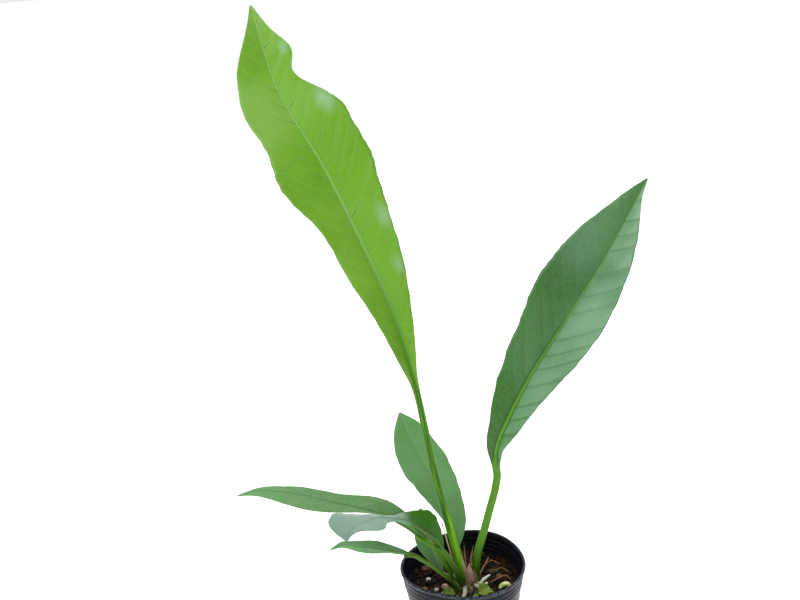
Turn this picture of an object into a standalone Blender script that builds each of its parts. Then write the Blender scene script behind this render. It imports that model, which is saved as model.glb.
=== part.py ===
"""A potted bird's-nest anthurium in a thin nursery pot.

Metres, +Z up. The origin is the centre of the pot's flat base, and -Y is the front.
Plant points are in millimetres from the centre of the crown's top face.
"""

import math

import bmesh
import bpy
import numpy as np
from mathutils import Vector, noise

MM = 0.001
GAP = 0.0003  # clearance between separate pieces that touch

# Nursery pot
POT_HEIGHT = 0.090
RIM_RADIUS = 0.0513  # of the wall; the bead stands outside it
BASE_RADIUS = 0.039
MOUTH_WAVES = ((1, 0.0022, 45), (2, 0.0012, -10), (3, 0.0021, -160))  # waves round the mouth, size, degrees
POT_WALL = 0.0012
POT_FLOOR = 0.0015
FOOT_CHAMFER = 0.0015
BEAD_DEPTH = 0.0022
BEAD_PROUD = 0.0012
BEAD_SLOPE = 0.0008  # height of the slope under the bead
RIM_EDGE = 0.0005  # height of the bead's bevel at the mouth
RIB_PROUD = 0.0005
RIB_DROPS = (0.0065, 0.0105, 0.0145)  # rib centres below the rim
RIB_HALF_WIDTH = 0.0009
DRAIN_HOLES = 6
DRAIN_RADIUS = 0.004
DRAIN_RING = 0.027
POT_SIDES = 44
HOLE_SIDES = 20

# Potting mix
HEADSPACE = 0.017  # soil surface below the rim
SOIL_RELIEF = 0.0016
SOIL_RINGS = 7
WALL_LEVELS = (0.25, 0.5, 0.75)  # shares of the soil's height where the wall and the soil have a ring

# Crown, the short stem that carries every leaf
CROWN_X = 0.0015
CROWN_Y = -0.0145
CROWN_RADIUS = 0.0095
CROWN_RISE = 0.007
CROWN_DEPTH = 0.022
CROWN_SHOULDER = (0.0012, 0.0015)  # inset and height of the bevel round its top
CROWN_SIDES = 24

# Leaves
BLADE_THICKNESS = 0.0008
BLADE_COLUMNS = 6
PETIOLE_SIDES = 8
PETIOLE_FLATNESS = 0.9
PETIOLE_LEAD = 0.003  # how far a stalk runs straight into its blade

# Roots, strands, seed and loose grains
ROOT_STATIONS = 9
ROOT_SIDES = 8
ROOT_TIP = 0.45  # share of the radius left at the tip
STRAND_STATIONS = 12
STRAND_SIDES = 6
SEED_STATIONS = 11
SEED_SIDES = 10
SEED_RADIUS = 0.0023
GRAIN_BUMPS = 0.22  # share of a grain's size that its faces are pushed by
GRAIN_BUMP_SCALE = 1.7

SOIL_TOP = POT_HEIGHT - HEADSPACE
CROWN_TOP = SOIL_TOP + CROWN_RISE
CROWN = np.array((CROWN_X, CROWN_Y, CROWN_TOP))


def clear_scene():
    for old in list(bpy.data.objects):
        bpy.data.objects.remove(old, do_unlink=True)


def material(name, colour, roughness, metallic=0.0):
    made = bpy.data.materials.get(name)
    if made is None:
        made = bpy.data.materials.new(name)
        made.use_nodes = True
        shader = made.node_tree.nodes["Principled BSDF"]
        shader.inputs["Base Color"].default_value = (*colour, 1.0)
        shader.inputs["Roughness"].default_value = roughness
        shader.inputs["Metallic"].default_value = metallic
    return made


def add_solid(name, points, faces, surface, smooth=True):
    mesh = bpy.data.meshes.new(name)
    mesh.from_pydata([tuple(point) for point in points], [], faces)
    shape = bmesh.new()
    shape.from_mesh(mesh)
    bmesh.ops.recalc_face_normals(shape, faces=shape.faces)
    shape.to_mesh(mesh)
    shape.free()
    if smooth:
        mesh.shade_smooth()
        mesh.set_sharp_from_angle(angle=math.radians(50))
    solid = bpy.data.objects.new(name, mesh)
    bpy.context.collection.objects.link(solid)
    solid.data.materials.append(surface)
    return solid


def loft(name, rings, surface):
    """A closed solid through rings of equal counts, with its two ends capped."""
    count = len(rings[0])
    points = [point for ring in rings for point in ring]
    faces = []
    for row in range(len(rings) - 1):
        for side in range(count):
            near = row * count + side
            nearer = row * count + (side + 1) % count
            faces.append((near, nearer, nearer + count, near + count))
    faces.append(tuple(range(count)))
    faces.append(tuple(range((len(rings) - 1) * count, len(rings) * count)))
    return add_solid(name, points, faces, surface)


def smooth_between(knots, values, at):
    """Reads a smooth curve through values at knots, for each parameter in at."""
    knots = np.asarray(knots, float)
    values = np.asarray(values, float).reshape(len(knots), -1)
    slopes = np.gradient(values, knots, axis=0)
    slot = np.clip(np.searchsorted(knots, at, side="right") - 1, 0, len(knots) - 2)
    span = (knots[slot + 1] - knots[slot])[:, None]
    u = (at - knots[slot])[:, None] / span
    start = (2 * u**3 - 3 * u**2 + 1) * values[slot] + (u**3 - 2 * u**2 + u) * span * slopes[slot]
    end = (3 * u**2 - 2 * u**3) * values[slot + 1] + (u**3 - u**2) * span * slopes[slot + 1]
    return start + end


def evenly(rows, count):
    """Reads evenly spaced rows at count shares from the first to the last."""
    return smooth_between(np.linspace(0, 1, len(rows)), rows, np.linspace(0, 1, count))


def walk(points, count):
    """Points evenly spaced along a smooth curve through the given points."""
    points = np.asarray(points, float)
    chords = np.linalg.norm(np.diff(points, axis=0), axis=1)
    knots = np.concatenate(([0], np.cumsum(chords)))
    fine = smooth_between(knots, points, np.linspace(0, knots[-1], 40 * count))
    lengths = np.concatenate(([0], np.cumsum(np.linalg.norm(np.diff(fine, axis=0), axis=1))))
    wanted = np.linspace(0, lengths[-1], count)
    return np.stack([np.interp(wanted, lengths, fine[:, axis]) for axis in range(3)], axis=1)


def unit(vectors):
    return vectors / np.linalg.norm(vectors, axis=-1, keepdims=True)


def axes_along(path, facing):
    """Tangent, side and facing directions at each point of a path."""
    along = unit(np.gradient(path, axis=0))
    front = evenly(facing, len(path))
    front = unit(front - np.sum(front * along, axis=1, keepdims=True) * along)
    return along, np.cross(along, front), front


def on_plant(points):
    """World places of points given in millimetres from the crown's top."""
    return np.asarray(points, float) * MM + CROWN


# ---------------------------------------------------------------- pot and soil


def wall_point(angle, height, inset):
    """A point of the tapered wall, inset from its outer face."""
    share = height / POT_HEIGHT
    radius = BASE_RADIUS + (RIM_RADIUS - BASE_RADIUS) * share - inset
    for count, size, phase in MOUTH_WAVES:
        radius += size * share * math.cos(count * angle - math.radians(phase))
    return (radius * math.cos(angle), radius * math.sin(angle), height)


def wall_ring(height, inset):
    angles = [2 * math.pi * side / POT_SIDES for side in range(POT_SIDES)]
    return [wall_point(angle, height, inset) for angle in angles]


def make_pot():
    """A tapered shell with a rolled bead at the mouth and stiffening ribs below it."""
    ribs = []
    for drop in RIB_DROPS:
        for step, rise in ((-1, 0), (0, RIB_PROUD), (1, 0)):
            ribs.append((POT_HEIGHT - drop + step * RIB_HALF_WIDTH, rise))
    ribs.sort()
    rings = [wall_ring(0, FOOT_CHAMFER), wall_ring(FOOT_CHAMFER, 0)]
    rings += [wall_ring(share * SOIL_TOP, 0) for share in WALL_LEVELS]
    rings += [wall_ring(height, -rise) for height, rise in ribs]
    bead_low = POT_HEIGHT - BEAD_DEPTH
    rings += [wall_ring(bead_low - BEAD_SLOPE, 0), wall_ring(bead_low, -BEAD_PROUD)]
    rings += [wall_ring(POT_HEIGHT - RIM_EDGE, -BEAD_PROUD), wall_ring(POT_HEIGHT, -BEAD_PROUD / 2)]
    rings += [wall_ring(POT_HEIGHT, POT_WALL / 2), wall_ring(POT_HEIGHT - RIM_EDGE, POT_WALL)]
    rings += [wall_ring(height, POT_WALL - rise) for height, rise in reversed(ribs)]
    rings += [wall_ring(share * SOIL_TOP, POT_WALL) for share in reversed(WALL_LEVELS)]
    rings.append(wall_ring(POT_FLOOR, POT_WALL))
    pot = loft("nursery_pot", rings, material("black_soft_plastic", (0.005, 0.005, 0.007), 0.32))
    for hole in range(DRAIN_HOLES):
        angle = 2 * math.pi * hole / DRAIN_HOLES
        place = (DRAIN_RING * math.cos(angle), DRAIN_RING * math.sin(angle), POT_FLOOR / 2)
        cut_cylinder(pot, place, DRAIN_RADIUS, POT_FLOOR * 3, HOLE_SIDES)
    return pot


def cut_cylinder(solid, place, radius, length, sides):
    """Cuts a vertical round hole, centred on place."""
    bpy.ops.mesh.primitive_cylinder_add(vertices=sides, radius=radius, depth=length, location=place)
    cutter = bpy.context.active_object
    cutter.name = "cutter"
    cutter.hide_render = True
    cutter.display_type = "WIRE"
    cut = solid.modifiers.new("hole", "BOOLEAN")
    cut.operation = "DIFFERENCE"
    cut.object = cutter


def soil_height(x, y, share):
    """The uneven surface of the mix, level where it meets the wall at share 1."""
    ripple = noise.noise(Vector((x, y, 0.0)) * 120) + 0.5 * noise.noise(Vector((x, y, 0.01)) * 310)
    return SOIL_TOP + SOIL_RELIEF * ripple * (1 - share**6)


def make_soil():
    """Potting mix that fills the pot up to the headspace."""
    inset = POT_WALL + GAP
    low = POT_FLOOR + GAP
    rings = [wall_ring(low, inset)]
    rings += [wall_ring(share * SOIL_TOP, inset) for share in WALL_LEVELS]
    for ring in range(SOIL_RINGS):
        share = 1 - ring / SOIL_RINGS
        edge = wall_ring(SOIL_TOP, inset)
        spots = [(share * x, share * y) for x, y, _ in edge]
        rings.append([(x, y, soil_height(x, y, share)) for x, y in spots])
    soil = loft("potting_mix", rings, material("potting_mix", (0.055, 0.026, 0.012), 0.95))
    middle = CROWN_TOP - CROWN_DEPTH / 2
    cut_cylinder(soil, (CROWN_X, CROWN_Y, middle), CROWN_RADIUS + GAP, CROWN_DEPTH + 2 * GAP, CROWN_SIDES)
    return soil


# ---------------------------------------------------------------- plant


def make_crown():
    """The stem stub: a straight foot in the soil and a rounded shoulder."""
    rings = []
    bevel, drop = CROWN_SHOULDER
    profile = ((0, -CROWN_DEPTH), (0, -drop), (-bevel, 0))
    for grow, rise in profile:
        radius = CROWN_RADIUS + grow
        ring = []
        for side in range(CROWN_SIDES):
            angle = 2 * math.pi * side / CROWN_SIDES
            ring.append(CROWN + (radius * math.cos(angle), radius * math.sin(angle), rise))
        rings.append(ring)
    return loft("stem_crown", rings, material("crown_tissue", (0.16, 0.13, 0.05), 0.7))


def blade_solid(name, rib, facing, outline, fold, surface, rows, columns=BLADE_COLUMNS):
    """A leaf blade folded along its midrib.

    rib holds world places from the blade's foot to its tip. facing holds the upper side's
    directions and fold the rise of each half in degrees, both evenly spaced from foot to tip.
    outline rows are (share of the length, left half width, right half width) in millimetres.
    """
    centre = walk(rib, rows + 1)
    _, across, front = axes_along(centre, facing)
    shares = np.linspace(0, 1, rows + 1)
    outline = np.asarray(outline, float)
    halves = smooth_between(outline[:, 0], outline[:, 1:], shares) * MM
    rises = np.radians(evenly(fold, rows + 1)[:, 0])
    upper = []
    lower = []
    for row in range(rows + 1):
        for column in range(columns + 1):
            u = 2 * column / columns - 1
            reach = u * halves[row, 0 if u < 0 else 1]
            spot = centre[row] + across[row] * reach * math.cos(rises[row])
            spot = spot + front[row] * abs(reach) * math.sin(rises[row])
            upper.append(spot)
            lower.append(spot - front[row] * BLADE_THICKNESS)
    faces = []
    width = columns + 1
    under = len(upper)
    for row in range(rows):
        for column in range(columns):
            a = row * width + column
            faces.append((a, a + 1, a + 1 + width, a + width))
            faces.append((under + a + width, under + a + 1 + width, under + a + 1, under + a))
    edge = list(range(width))
    edge += [row * width + columns for row in range(1, rows + 1)]
    edge += [rows * width + column for column in range(columns - 1, -1, -1)]
    edge += [row * width for row in range(rows - 1, 0, -1)]
    for here, there in zip(edge, edge[1:] + edge[:1]):
        faces.append((here, there, under + there, under + here))
    return add_solid(name, upper + lower, faces, surface)


def tube_rings(path, radii, sides, flatness, facing):
    """Oval rings along a path; flatness is the share of the width left front to back."""
    _, across, front = axes_along(path, facing)
    rings = []
    for place, side, back, radius in zip(path, across, front, radii):
        ring = []
        for corner in range(sides):
            angle = 2 * math.pi * corner / sides
            out = side * math.cos(angle) + back * math.sin(angle) * flatness
            ring.append(place + out * radius)
        rings.append(ring)
    return rings


def make_petiole(name, points, rib, facing, radii, surface):
    """A leaf stalk from the crown's top face to just below the blade's foot."""
    foot = walk(on_plant(rib), 60)[:2]
    ahead = unit(foot[1] - foot[0])
    end = foot[0] - ahead * GAP
    start = on_plant(points)
    start[0, 2] = CROWN_TOP + GAP
    count = max(8, round(len(points) * 4))
    path = walk(np.vstack((start, end - ahead * PETIOLE_LEAD, end)), count)
    widths = evenly(radii, count)[:, 0] * MM
    rings = tube_rings(path, widths, PETIOLE_SIDES, PETIOLE_FLATNESS, [facing[0], facing[0]])
    level = CROWN_TOP + GAP
    rings[0] = [np.array((point[0], point[1], level)) for point in rings[0]]
    return loft(name, rings, surface)


LEAVES = {
    "tall_leaf": dict(
        rows=26,
        colour=(0.17, 0.42, 0.045),
        petiole=[(-0.2, 4.6, 0), (-5, 2.5, 21), (-11, 4.5, 53), (-19.5, 7.5, 100), (-25.5, 11.5, 145)],
        radii=[3.6, 3.4, 3.1, 2.8, 2.7],
        rib=[(-29, 14, 170), (-43, 22.5, 237), (-64, 32.5, 296), (-89, 46.5, 356),
             (-119, 64.5, 414), (-135, 84.5, 478)],
        facing=[(0.35, -0.9, 0.2), (0.15, -0.95, 0.3), (0.0, -0.95, 0.3)],
        outline=[(0, 3.4, 2.9), (0.05, 7.5, 4.6), (0.10, 12, 8), (0.16, 16, 12), (0.22, 19, 17),
                 (0.34, 24, 25.8), (0.46, 27, 31.5), (0.52, 34, 34.5), (0.58, 39, 38.8), (0.64, 35.8, 38.5),
                 (0.70, 32.2, 38), (0.76, 33, 28), (0.82, 29.5, 17), (0.88, 21.5, 21),
                 (0.94, 9.8, 9), (1, 0.7, 0.7)],
        fold=[40, 20, 12, 8, 8],
    ),
    "right_leaf": dict(
        rows=22,
        colour=(0.075, 0.22, 0.04),
        petiole=[(8, 3.5, 0), (11, 3.5, 24), (18, 1.5, 49), (23.5, -0.5, 70), (28.5, -2.5, 89),
                 (30.5, -3.5, 102)],
        radii=[3.5, 3.3, 3.2, 3.1, 3.2, 3.8],
        rib=[(29.5, -5.5, 112), (31.5, -4.5, 127), (42, -1.5, 150), (60, 4.5, 180), (92, 16.5, 222),
             (128.5, 30.5, 269), (165, 46.5, 325)],
        facing=[(-0.5, -0.8, 0.2), (-0.42, -0.78, 0.45), (-0.4, -0.8, 0.45)],
        outline=[(0, 3.4, 3.4), (0.06, 8.5, 9), (0.12, 12.5, 15), (0.19, 18, 19.5), (0.31, 25, 27),
                 (0.44, 31.5, 35.5), (0.56, 36.5, 36), (0.66, 35.5, 31), (0.75, 31, 24),
                 (0.87, 19, 12), (0.94, 10, 4), (1, 0.7, 0.7)],
        fold=[35, 24, 22, 18, 14],
    ),
    "back_leaf": dict(
        rows=14,
        colour=(0.12, 0.33, 0.09),
        petiole=[(-0.6, 10.6, 0), (-2, 11.5, 15)],
        radii=[2.0, 1.9, 1.8],
        rib=[(-4.5, 14.5, 26), (-9.5, 22.5, 48), (-15.5, 28.5, 67), (-23, 35.5, 88), (-38, 46.5, 119),
             (-45, 54.5, 137)],
        facing=[(0.15, -0.9, 0.45), (0.1, -0.85, 0.5), (0, -0.8, 0.6)],
        outline=[(0, 1.8, 1.8), (0.07, 2.5, 8), (0.17, 5, 14), (0.32, 11, 17.5), (0.48, 18, 19),
                 (0.66, 21.5, 18), (0.8, 17, 15.5), (0.9, 11, 11), (1, 0.7, 0.7)],
        fold=[30, 16, 12],
    ),
    "long_left_leaf": dict(
        rows=18,
        colour=(0.09, 0.26, 0.05),
        petiole=[(-8.6, -1.2, 0), (-14.8, -1.5, 17), (-22.5, -3.5, 34)],
        radii=[1.8, 1.9, 2.0, 2.2],
        rib=[(-31, -4.2, 46), (-48, -4.5, 62.5), (-66.5, -3.5, 74), (-105.5, -1.5, 87.5), (-144, 1.5, 98.5),
             (-165, 3.5, 100.5), (-183, 5.5, 96.5)],
        facing=[(0.3, 0.14, 1), (0.15, 0.12, 1), (0.05, 0.05, 1), (0, 0.03, 1)],
        outline=[(0, 2.2, 2.2), (0.12, 7, 11), (0.25, 14, 18), (0.4, 18.5, 19), (0.55, 20, 18), (0.7, 18, 14),
                 (0.85, 11, 8), (1, 0.6, 0.6)],
        fold=[42, 22, 4, -3, 0],
    ),
    "arched_leaf": dict(
        rows=20,
        colour=(0.09, 0.24, 0.12),
        petiole=[(-2.8, -3.2, 0), (-8.2, -8.2, 18), (-15.5, -12.5, 36)],
        radii=[3.0, 3.0, 2.9, 2.6],
        rib=[(-19.5, -14.7, 43.5), (-27.8, -19.5, 59.6), (-36.3, -24, 71.1), (-42.9, -29, 79.7),
             (-54.6, -37, 89.3), (-67.1, -47, 97.1), (-76.3, -58, 100.2), (-84.7, -69, 102.2),
             (-89, -76, 100.6), (-90.5, -79, 96.8)],
        facing=[(0.89, -0.15, 0.43), (0.88, -0.18, 0.45), (0.7, -0.1, 0.7), (0.15, -0.05, 1),
                (0, -0.08, 1), (-0.1, -0.12, 1), (-0.3, 0.1, 0.9)],
        outline=[(0, 2.6, 2.6), (0.08, 6, 8), (0.15, 9, 14), (0.25, 11, 17), (0.32, 8, 12.5),
                 (0.40, 6, 8.5), (0.46, 5, 7.5), (0.55, 5.5, 9), (0.66, 11, 14), (0.78, 17, 23),
                 (0.87, 14, 25), (0.94, 5.5, 17), (1, 0.6, 0.6)],
        fold=[45, 38, 22, -12, -4, 5, 10],
    ),
    "short_left_leaf": dict(
        rows=12,
        colour=(0.10, 0.29, 0.10),
        petiole=[(-6.4, -7.2, 0), (-12.5, -10.8, 9.5), (-23, -15.5, 24), (-34, -20.5, 37.5)],
        radii=[2.0, 1.8, 1.8, 2.0, 2.0],
        rib=[(-45.5, -25, 47.5), (-62.5, -29.5, 55.5), (-75, -32.5, 61), (-88, -35.5, 66),
             (-98, -37.5, 69.5), (-107.5, -39.5, 67)],
        facing=[(0.3, 0.1, 1), (0.15, 0.1, 1), (0.1, 0.1, 1)],
        outline=[(0, 2, 2), (0.18, 5, 6), (0.4, 11, 11), (0.6, 11.5, 10), (0.8, 7, 6), (1, 0.6, 0.6)],
        fold=[35, 6, 0],
    ),
    "young_leaf": dict(
        rows=10,
        colour=(0.20, 0.42, 0.16),
        petiole=[(-6.5, 5.5, 0), (-13.5, 5.5, 3.5)],
        radii=[1.6, 1.6, 1.6],
        rib=[(-20, 5.8, 9), (-24.5, 8.2, 24), (-30, 12.5, 48), (-34, 16.5, 65)],
        facing=[(0.1, -0.9, 0.4), (0.1, -0.9, 0.4)],
        outline=[(0, 1.6, 1.6), (0.2, 6, 7), (0.45, 12, 11), (0.7, 11, 10), (0.88, 6, 6), (1, 0.6, 0.6)],
        fold=[30, 14, 10],
    ),
}

# Bracts and dry sheaths that stand on the crown: rib, facing, half width, colour
SHEATHS = {
    "green_cataphyll": ([(0.8, 0, 0.3), (-4.6, -2.6, 25), (-9, -2, 55), (-13, 0.5, 76)], (0.2, -1, 0), 1.9,
                        (0.13, 0.34, 0.01)),
    "tan_cataphyll": ([(-4.6, 2, 0), (-9.5, 1.6, 20), (-13.6, 2.5, 41), (-16.9, 3.6, 58)],
                      (-1, -0.3, -0.2), 1.8, (0.36, 0.27, 0.12)),
    "dry_sheath": ([(4.2, -2.2, 0), (3.6, -2.8, 9), (2.6, -3, 19)], (0, -1, 0), 3.4, (0.42, 0.29, 0.18)),
    "brown_spike_left": ([(2.9, 1, 0), (0.9, 0.7, 18), (0.1, 0.8, 40)], (0, -1, 0), 0.7, (0.25, 0.13, 0.05)),
    "brown_spike_right": ([(4.9, -0.9, 0), (4.6, -1, 16), (6, -1, 28), (8.1, -0.5, 36)], (0, -1, 0), 0.9,
                          (0.25, 0.13, 0.05)),
}

# Roots that leave the crown's side: (azimuth, mm beyond the side, mm above the soil), radius
ROOTS = {
    "front_root": ([(-100, 0, 4.5), (-103, 4, 3.8), (-106, 10, 2.8)], 2.2),
    "low_right_root": ([(-28, 0, 5), (-24, 3, 5.6), (-9, 6, 5.4), (8, 8.5, 4.2)], 1.6),
    "high_right_root": ([(2, 0, 4.6), (16, 6, 6), (31, 16, 4.4)], 1.6),
    "left_root": ([(165, 0, 4.8), (153, 4, 5.2), (136, 9, 4.6)], 1.4),
    "back_root": ([(115, 0, 5), (118, 6, 4.6), (112, 14, 3.8)], 1.5),
}

# Dry strands and fibres on the mix: (share of the soil's radius in X and Y, mm above it), radius
STRANDS = {
    "dry_strand_back": ([(0.27, -0.20, 8.8), (0.36, 0.02, 9), (0.45, 0.25, 8), (0.52, 0.50, 5.5)], 0.65),
    "dry_strand_right": ([(0.46, -0.30, 5.2), (0.55, -0.25, 6), (0.66, -0.19, 6.4), (0.78, -0.15, 5.8),
                          (0.84, -0.22, 3.8)], 0.6),
    "coir_fibre_1": ([(0.42, 0.30, 4.0), (0.56, 0.42, 4.4), (0.70, 0.30, 3.9)], 0.45),
    "coir_fibre_2": ([(0.60, 0.10, 3.6), (0.72, 0.16, 4.4), (0.82, 0.05, 3.6)], 0.45),
    "coir_fibre_3": ([(0.18, 0.62, 4.0), (0.32, 0.72, 4.5), (0.46, 0.70, 3.9)], 0.45),
}

# Weed seedlings: foot as shares of the soil's radius, rib from the foot in mm, facing, half width
WEEDS = {
    "weed_leaf_left": ((-0.13, -0.56), [(0, 0, 3.2), (-3, 1, 5), (-8, 2, 5.6), (-13, 2.5, 4.4)],
                       (0, -0.6, 0.8), 5.0),
    "weed_leaf_right": ((0.16, -0.60), [(0, 0, 3.2), (3.5, 1, 5.2), (8, 3, 7), (12.5, 5, 8)],
                        (0.2, -0.7, 0.7), 5.2),
    "weed_leaf_front": ((0.08, -0.66), [(0, 0, 3.0), (1.5, -1, 4.4), (4, -1.6, 5), (6.5, -2, 4.6)],
                        (0, -0.5, 0.8), 2.8),
    "weed_leaf_small": ((0.50, -0.54), [(0, 0, 3.0), (-1.2, 0.6, 4), (-3.5, 1, 4.5), (-5.5, 1.2, 4.2)],
                        (0, -0.5, 0.8), 2.2),
}

# Loose grains: place as shares of the soil's radius, size in mm along X, Y and Z, colour, roughness
GRAINS = {
    "beige_stone": ((-0.345, -0.20), (3.2, 2.8, 2.4), (0.45, 0.33, 0.24), 0.7),
    "perlite_1": ((-0.63, 0.08), (2.2, 2.0, 1.7), (0.80, 0.80, 0.74), 0.9),
    "perlite_2": ((-0.50, -0.29), (2.0, 1.9, 1.6), (0.80, 0.80, 0.74), 0.9),
    "perlite_3": ((-0.39, -0.40), (1.7, 1.5, 1.3), (0.80, 0.80, 0.74), 0.9),
    "perlite_4": ((0.18, 0.42), (1.6, 1.5, 1.3), (0.80, 0.80, 0.74), 0.9),
    "bark_chip_1": ((0.56, 0.20), (5.0, 2.6, 1.4), (0.14, 0.06, 0.025), 0.9),
    "bark_chip_2": ((0.30, 0.52), (3.2, 4.6, 1.3), (0.11, 0.05, 0.02), 0.9),
    "bark_chip_3": ((0.66, -0.02), (3.0, 3.8, 1.3), (0.13, 0.05, 0.02), 0.9),
    "bark_chip_4": ((-0.20, 0.72), (4.6, 2.8, 1.4), (0.09, 0.04, 0.02), 0.9),
    "bark_chip_5": ((-0.66, 0.42), (3.6, 3.2, 1.4), (0.09, 0.04, 0.02), 0.9),
    "bark_chip_6": ((-0.72, -0.22), (2.8, 4.0, 1.3), (0.09, 0.04, 0.02), 0.9),
}

SOIL_RADIUS = BASE_RADIUS + (RIM_RADIUS - BASE_RADIUS) * SOIL_TOP / POT_HEIGHT - POT_WALL - GAP


def make_leaf(name, leaf):
    blade = material(name, leaf["colour"], 0.38)
    stalk = material("petiole_green", (0.08, 0.22, 0.02), 0.42)
    make_petiole(name + "_petiole", leaf["petiole"], leaf["rib"], leaf["facing"], leaf["radii"], stalk)
    design = (leaf["facing"], leaf["outline"], leaf["fold"])
    blade_solid(name + "_blade", on_plant(leaf["rib"]), *design, blade, leaf["rows"])


def make_sheath(name, rib, facing, half_width, colour):
    """A thin pointed bract whose foot stands on the crown's top."""
    path = on_plant(rib)
    path[0, 2] += GAP
    outline = [(0, half_width, half_width), (0.6, half_width * 0.8, half_width * 0.8), (1, 0.4, 0.4)]
    blade_solid(name, path, [facing, facing], outline, [8, 8], material(name, colour, 0.7), 10, 2)


def make_root(name, stations, radius):
    """A blunt root that leaves the crown's side square to it."""
    points = []
    azimuth, reach, height = stations[0]
    for azimuth, reach, height in [stations[0], (azimuth, reach + 1, height), *stations[1:]]:
        away = CROWN_RADIUS + GAP + reach * MM
        angle = math.radians(azimuth)
        spot = (CROWN_X + away * math.cos(angle), CROWN_Y + away * math.sin(angle), SOIL_TOP + height * MM)
        points.append(spot)
    path = walk(points, ROOT_STATIONS)
    radii = np.full(ROOT_STATIONS, radius * MM)
    radii[-1] *= ROOT_TIP
    rings = tube_rings(path, radii, ROOT_SIDES, 1.0, [(0, 0, 1), (0, 0, 1)])
    return loft(name, rings, material("root", (0.53, 0.56, 0.40), 0.75))


def on_soil(place):
    """World place of (share of the soil's radius in X, the same in Y, millimetres above the soil)."""
    return np.array((place[0] * SOIL_RADIUS, place[1] * SOIL_RADIUS, SOIL_TOP + place[2] * MM))


def make_strand(name, places, radius):
    path = walk([on_soil(place) for place in places], STRAND_STATIONS)
    radii = np.full(STRAND_STATIONS, radius * MM)
    rings = tube_rings(path, radii, STRAND_SIDES, 1.0, [(0, 0, 1), (0, 0, 1)])
    return loft(name, rings, material("dry_fibre", (0.30, 0.15, 0.06), 0.8))


def make_weed(name, foot, rib, facing, half_width):
    """A round seedling leaf on a thin stalk."""
    start = on_soil((foot[0], foot[1], 0))
    path = [start + np.array(point) * MM for point in rib]
    outline = [(0, 0.6, 0.6), (0.25, 0.8, 0.8), (0.42, half_width * 0.75, half_width * 0.75),
               (0.65, half_width, half_width), (0.88, half_width * 0.7, half_width * 0.7), (1, 0.6, 0.6)]
    surface = material("weed", (0.24, 0.33, 0.04), 0.5)
    blade_solid(name, path, [facing, facing], outline, [10, 4], surface, 10, 4)


def make_seed():
    """The fallen seed: a curved, blunt-ended bean."""
    places = [(0.61, -0.46, 3.8), (0.66, -0.40, 4.7), (0.74, -0.375, 5.0), (0.82, -0.41, 4.4)]
    path = walk([on_soil(place) for place in places], SEED_STATIONS)
    swell = np.sin(np.linspace(0.12, 0.93, SEED_STATIONS) * math.pi) ** 0.6
    rings = tube_rings(path, SEED_RADIUS * swell, SEED_SIDES, 0.9, [(0, 0, 1), (0, 0, 1)])
    return loft("fallen_seed", rings, material("seed", (0.55, 0.58, 0.14), 0.45))


def make_grain(name, place, size, colour, roughness):
    """A loose lump of the mix, its faces pushed in and out at random."""
    shape = bmesh.new()
    bmesh.ops.create_icosphere(shape, subdivisions=2, radius=1)
    sway = Vector((place[0], place[1], 0)) * 37
    for vertex in shape.verts:
        vertex.co *= 1 + GRAIN_BUMPS * noise.noise(vertex.co * GRAIN_BUMP_SCALE + sway)
        vertex.co = Vector([vertex.co[axis] * size[axis] * MM for axis in range(3)])
    mesh = bpy.data.meshes.new(name)
    shape.to_mesh(mesh)
    shape.free()
    grain = bpy.data.objects.new(name, mesh)
    bpy.context.collection.objects.link(grain)
    x, y, _ = on_soil((*place, 0))
    lift = SOIL_RELIEF * 1.5 + size[2] * MM * 1.15 + GAP
    grain.location = (x, y, SOIL_TOP + lift)
    mesh.materials.append(material(name.rstrip("_123456"), colour, roughness))
    return grain


clear_scene()
make_pot()
make_soil()
make_crown()
for leaf_name, leaf_design in LEAVES.items():
    make_leaf(leaf_name, leaf_design)
for sheath_name, sheath_design in SHEATHS.items():
    make_sheath(sheath_name, *sheath_design)
for root_name, root_design in ROOTS.items():
    make_root(root_name, *root_design)
for strand_name, strand_design in STRANDS.items():
    make_strand(strand_name, *strand_design)
for weed_name, weed_design in WEEDS.items():
    make_weed(weed_name, *weed_design)
make_seed()
for grain_name, grain_design in GRAINS.items():
    make_grain(grain_name, *grain_design)
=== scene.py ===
"""Looks of the potted bird's-nest anthurium: fine leaves, stalks, pot, mix and light.

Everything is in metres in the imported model's frame, save that plant points and widths are in
millimetres from the centre of the crown's top face, and litter lies at shares of the mix's radius.
"""

import math
import random

import bmesh
import bpy
import numpy as np
from mathutils import Matrix, Vector, noise


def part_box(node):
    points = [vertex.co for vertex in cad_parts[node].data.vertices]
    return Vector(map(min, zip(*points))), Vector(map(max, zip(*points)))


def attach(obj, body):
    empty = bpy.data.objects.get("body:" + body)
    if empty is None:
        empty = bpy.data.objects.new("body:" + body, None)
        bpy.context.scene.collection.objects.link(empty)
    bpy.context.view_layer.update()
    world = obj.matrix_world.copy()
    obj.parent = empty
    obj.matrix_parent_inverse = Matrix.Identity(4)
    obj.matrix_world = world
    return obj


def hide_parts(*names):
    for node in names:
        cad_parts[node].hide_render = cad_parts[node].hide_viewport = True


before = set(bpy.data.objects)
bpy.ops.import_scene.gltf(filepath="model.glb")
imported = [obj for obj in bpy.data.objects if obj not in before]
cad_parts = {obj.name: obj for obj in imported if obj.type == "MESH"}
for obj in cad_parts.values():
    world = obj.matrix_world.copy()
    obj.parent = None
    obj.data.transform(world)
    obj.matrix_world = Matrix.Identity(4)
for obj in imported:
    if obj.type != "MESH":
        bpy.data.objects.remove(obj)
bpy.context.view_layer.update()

random.seed(7)
MM = 0.001


def box_of(node):
    return [np.array(corner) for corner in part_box(node)]


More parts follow.
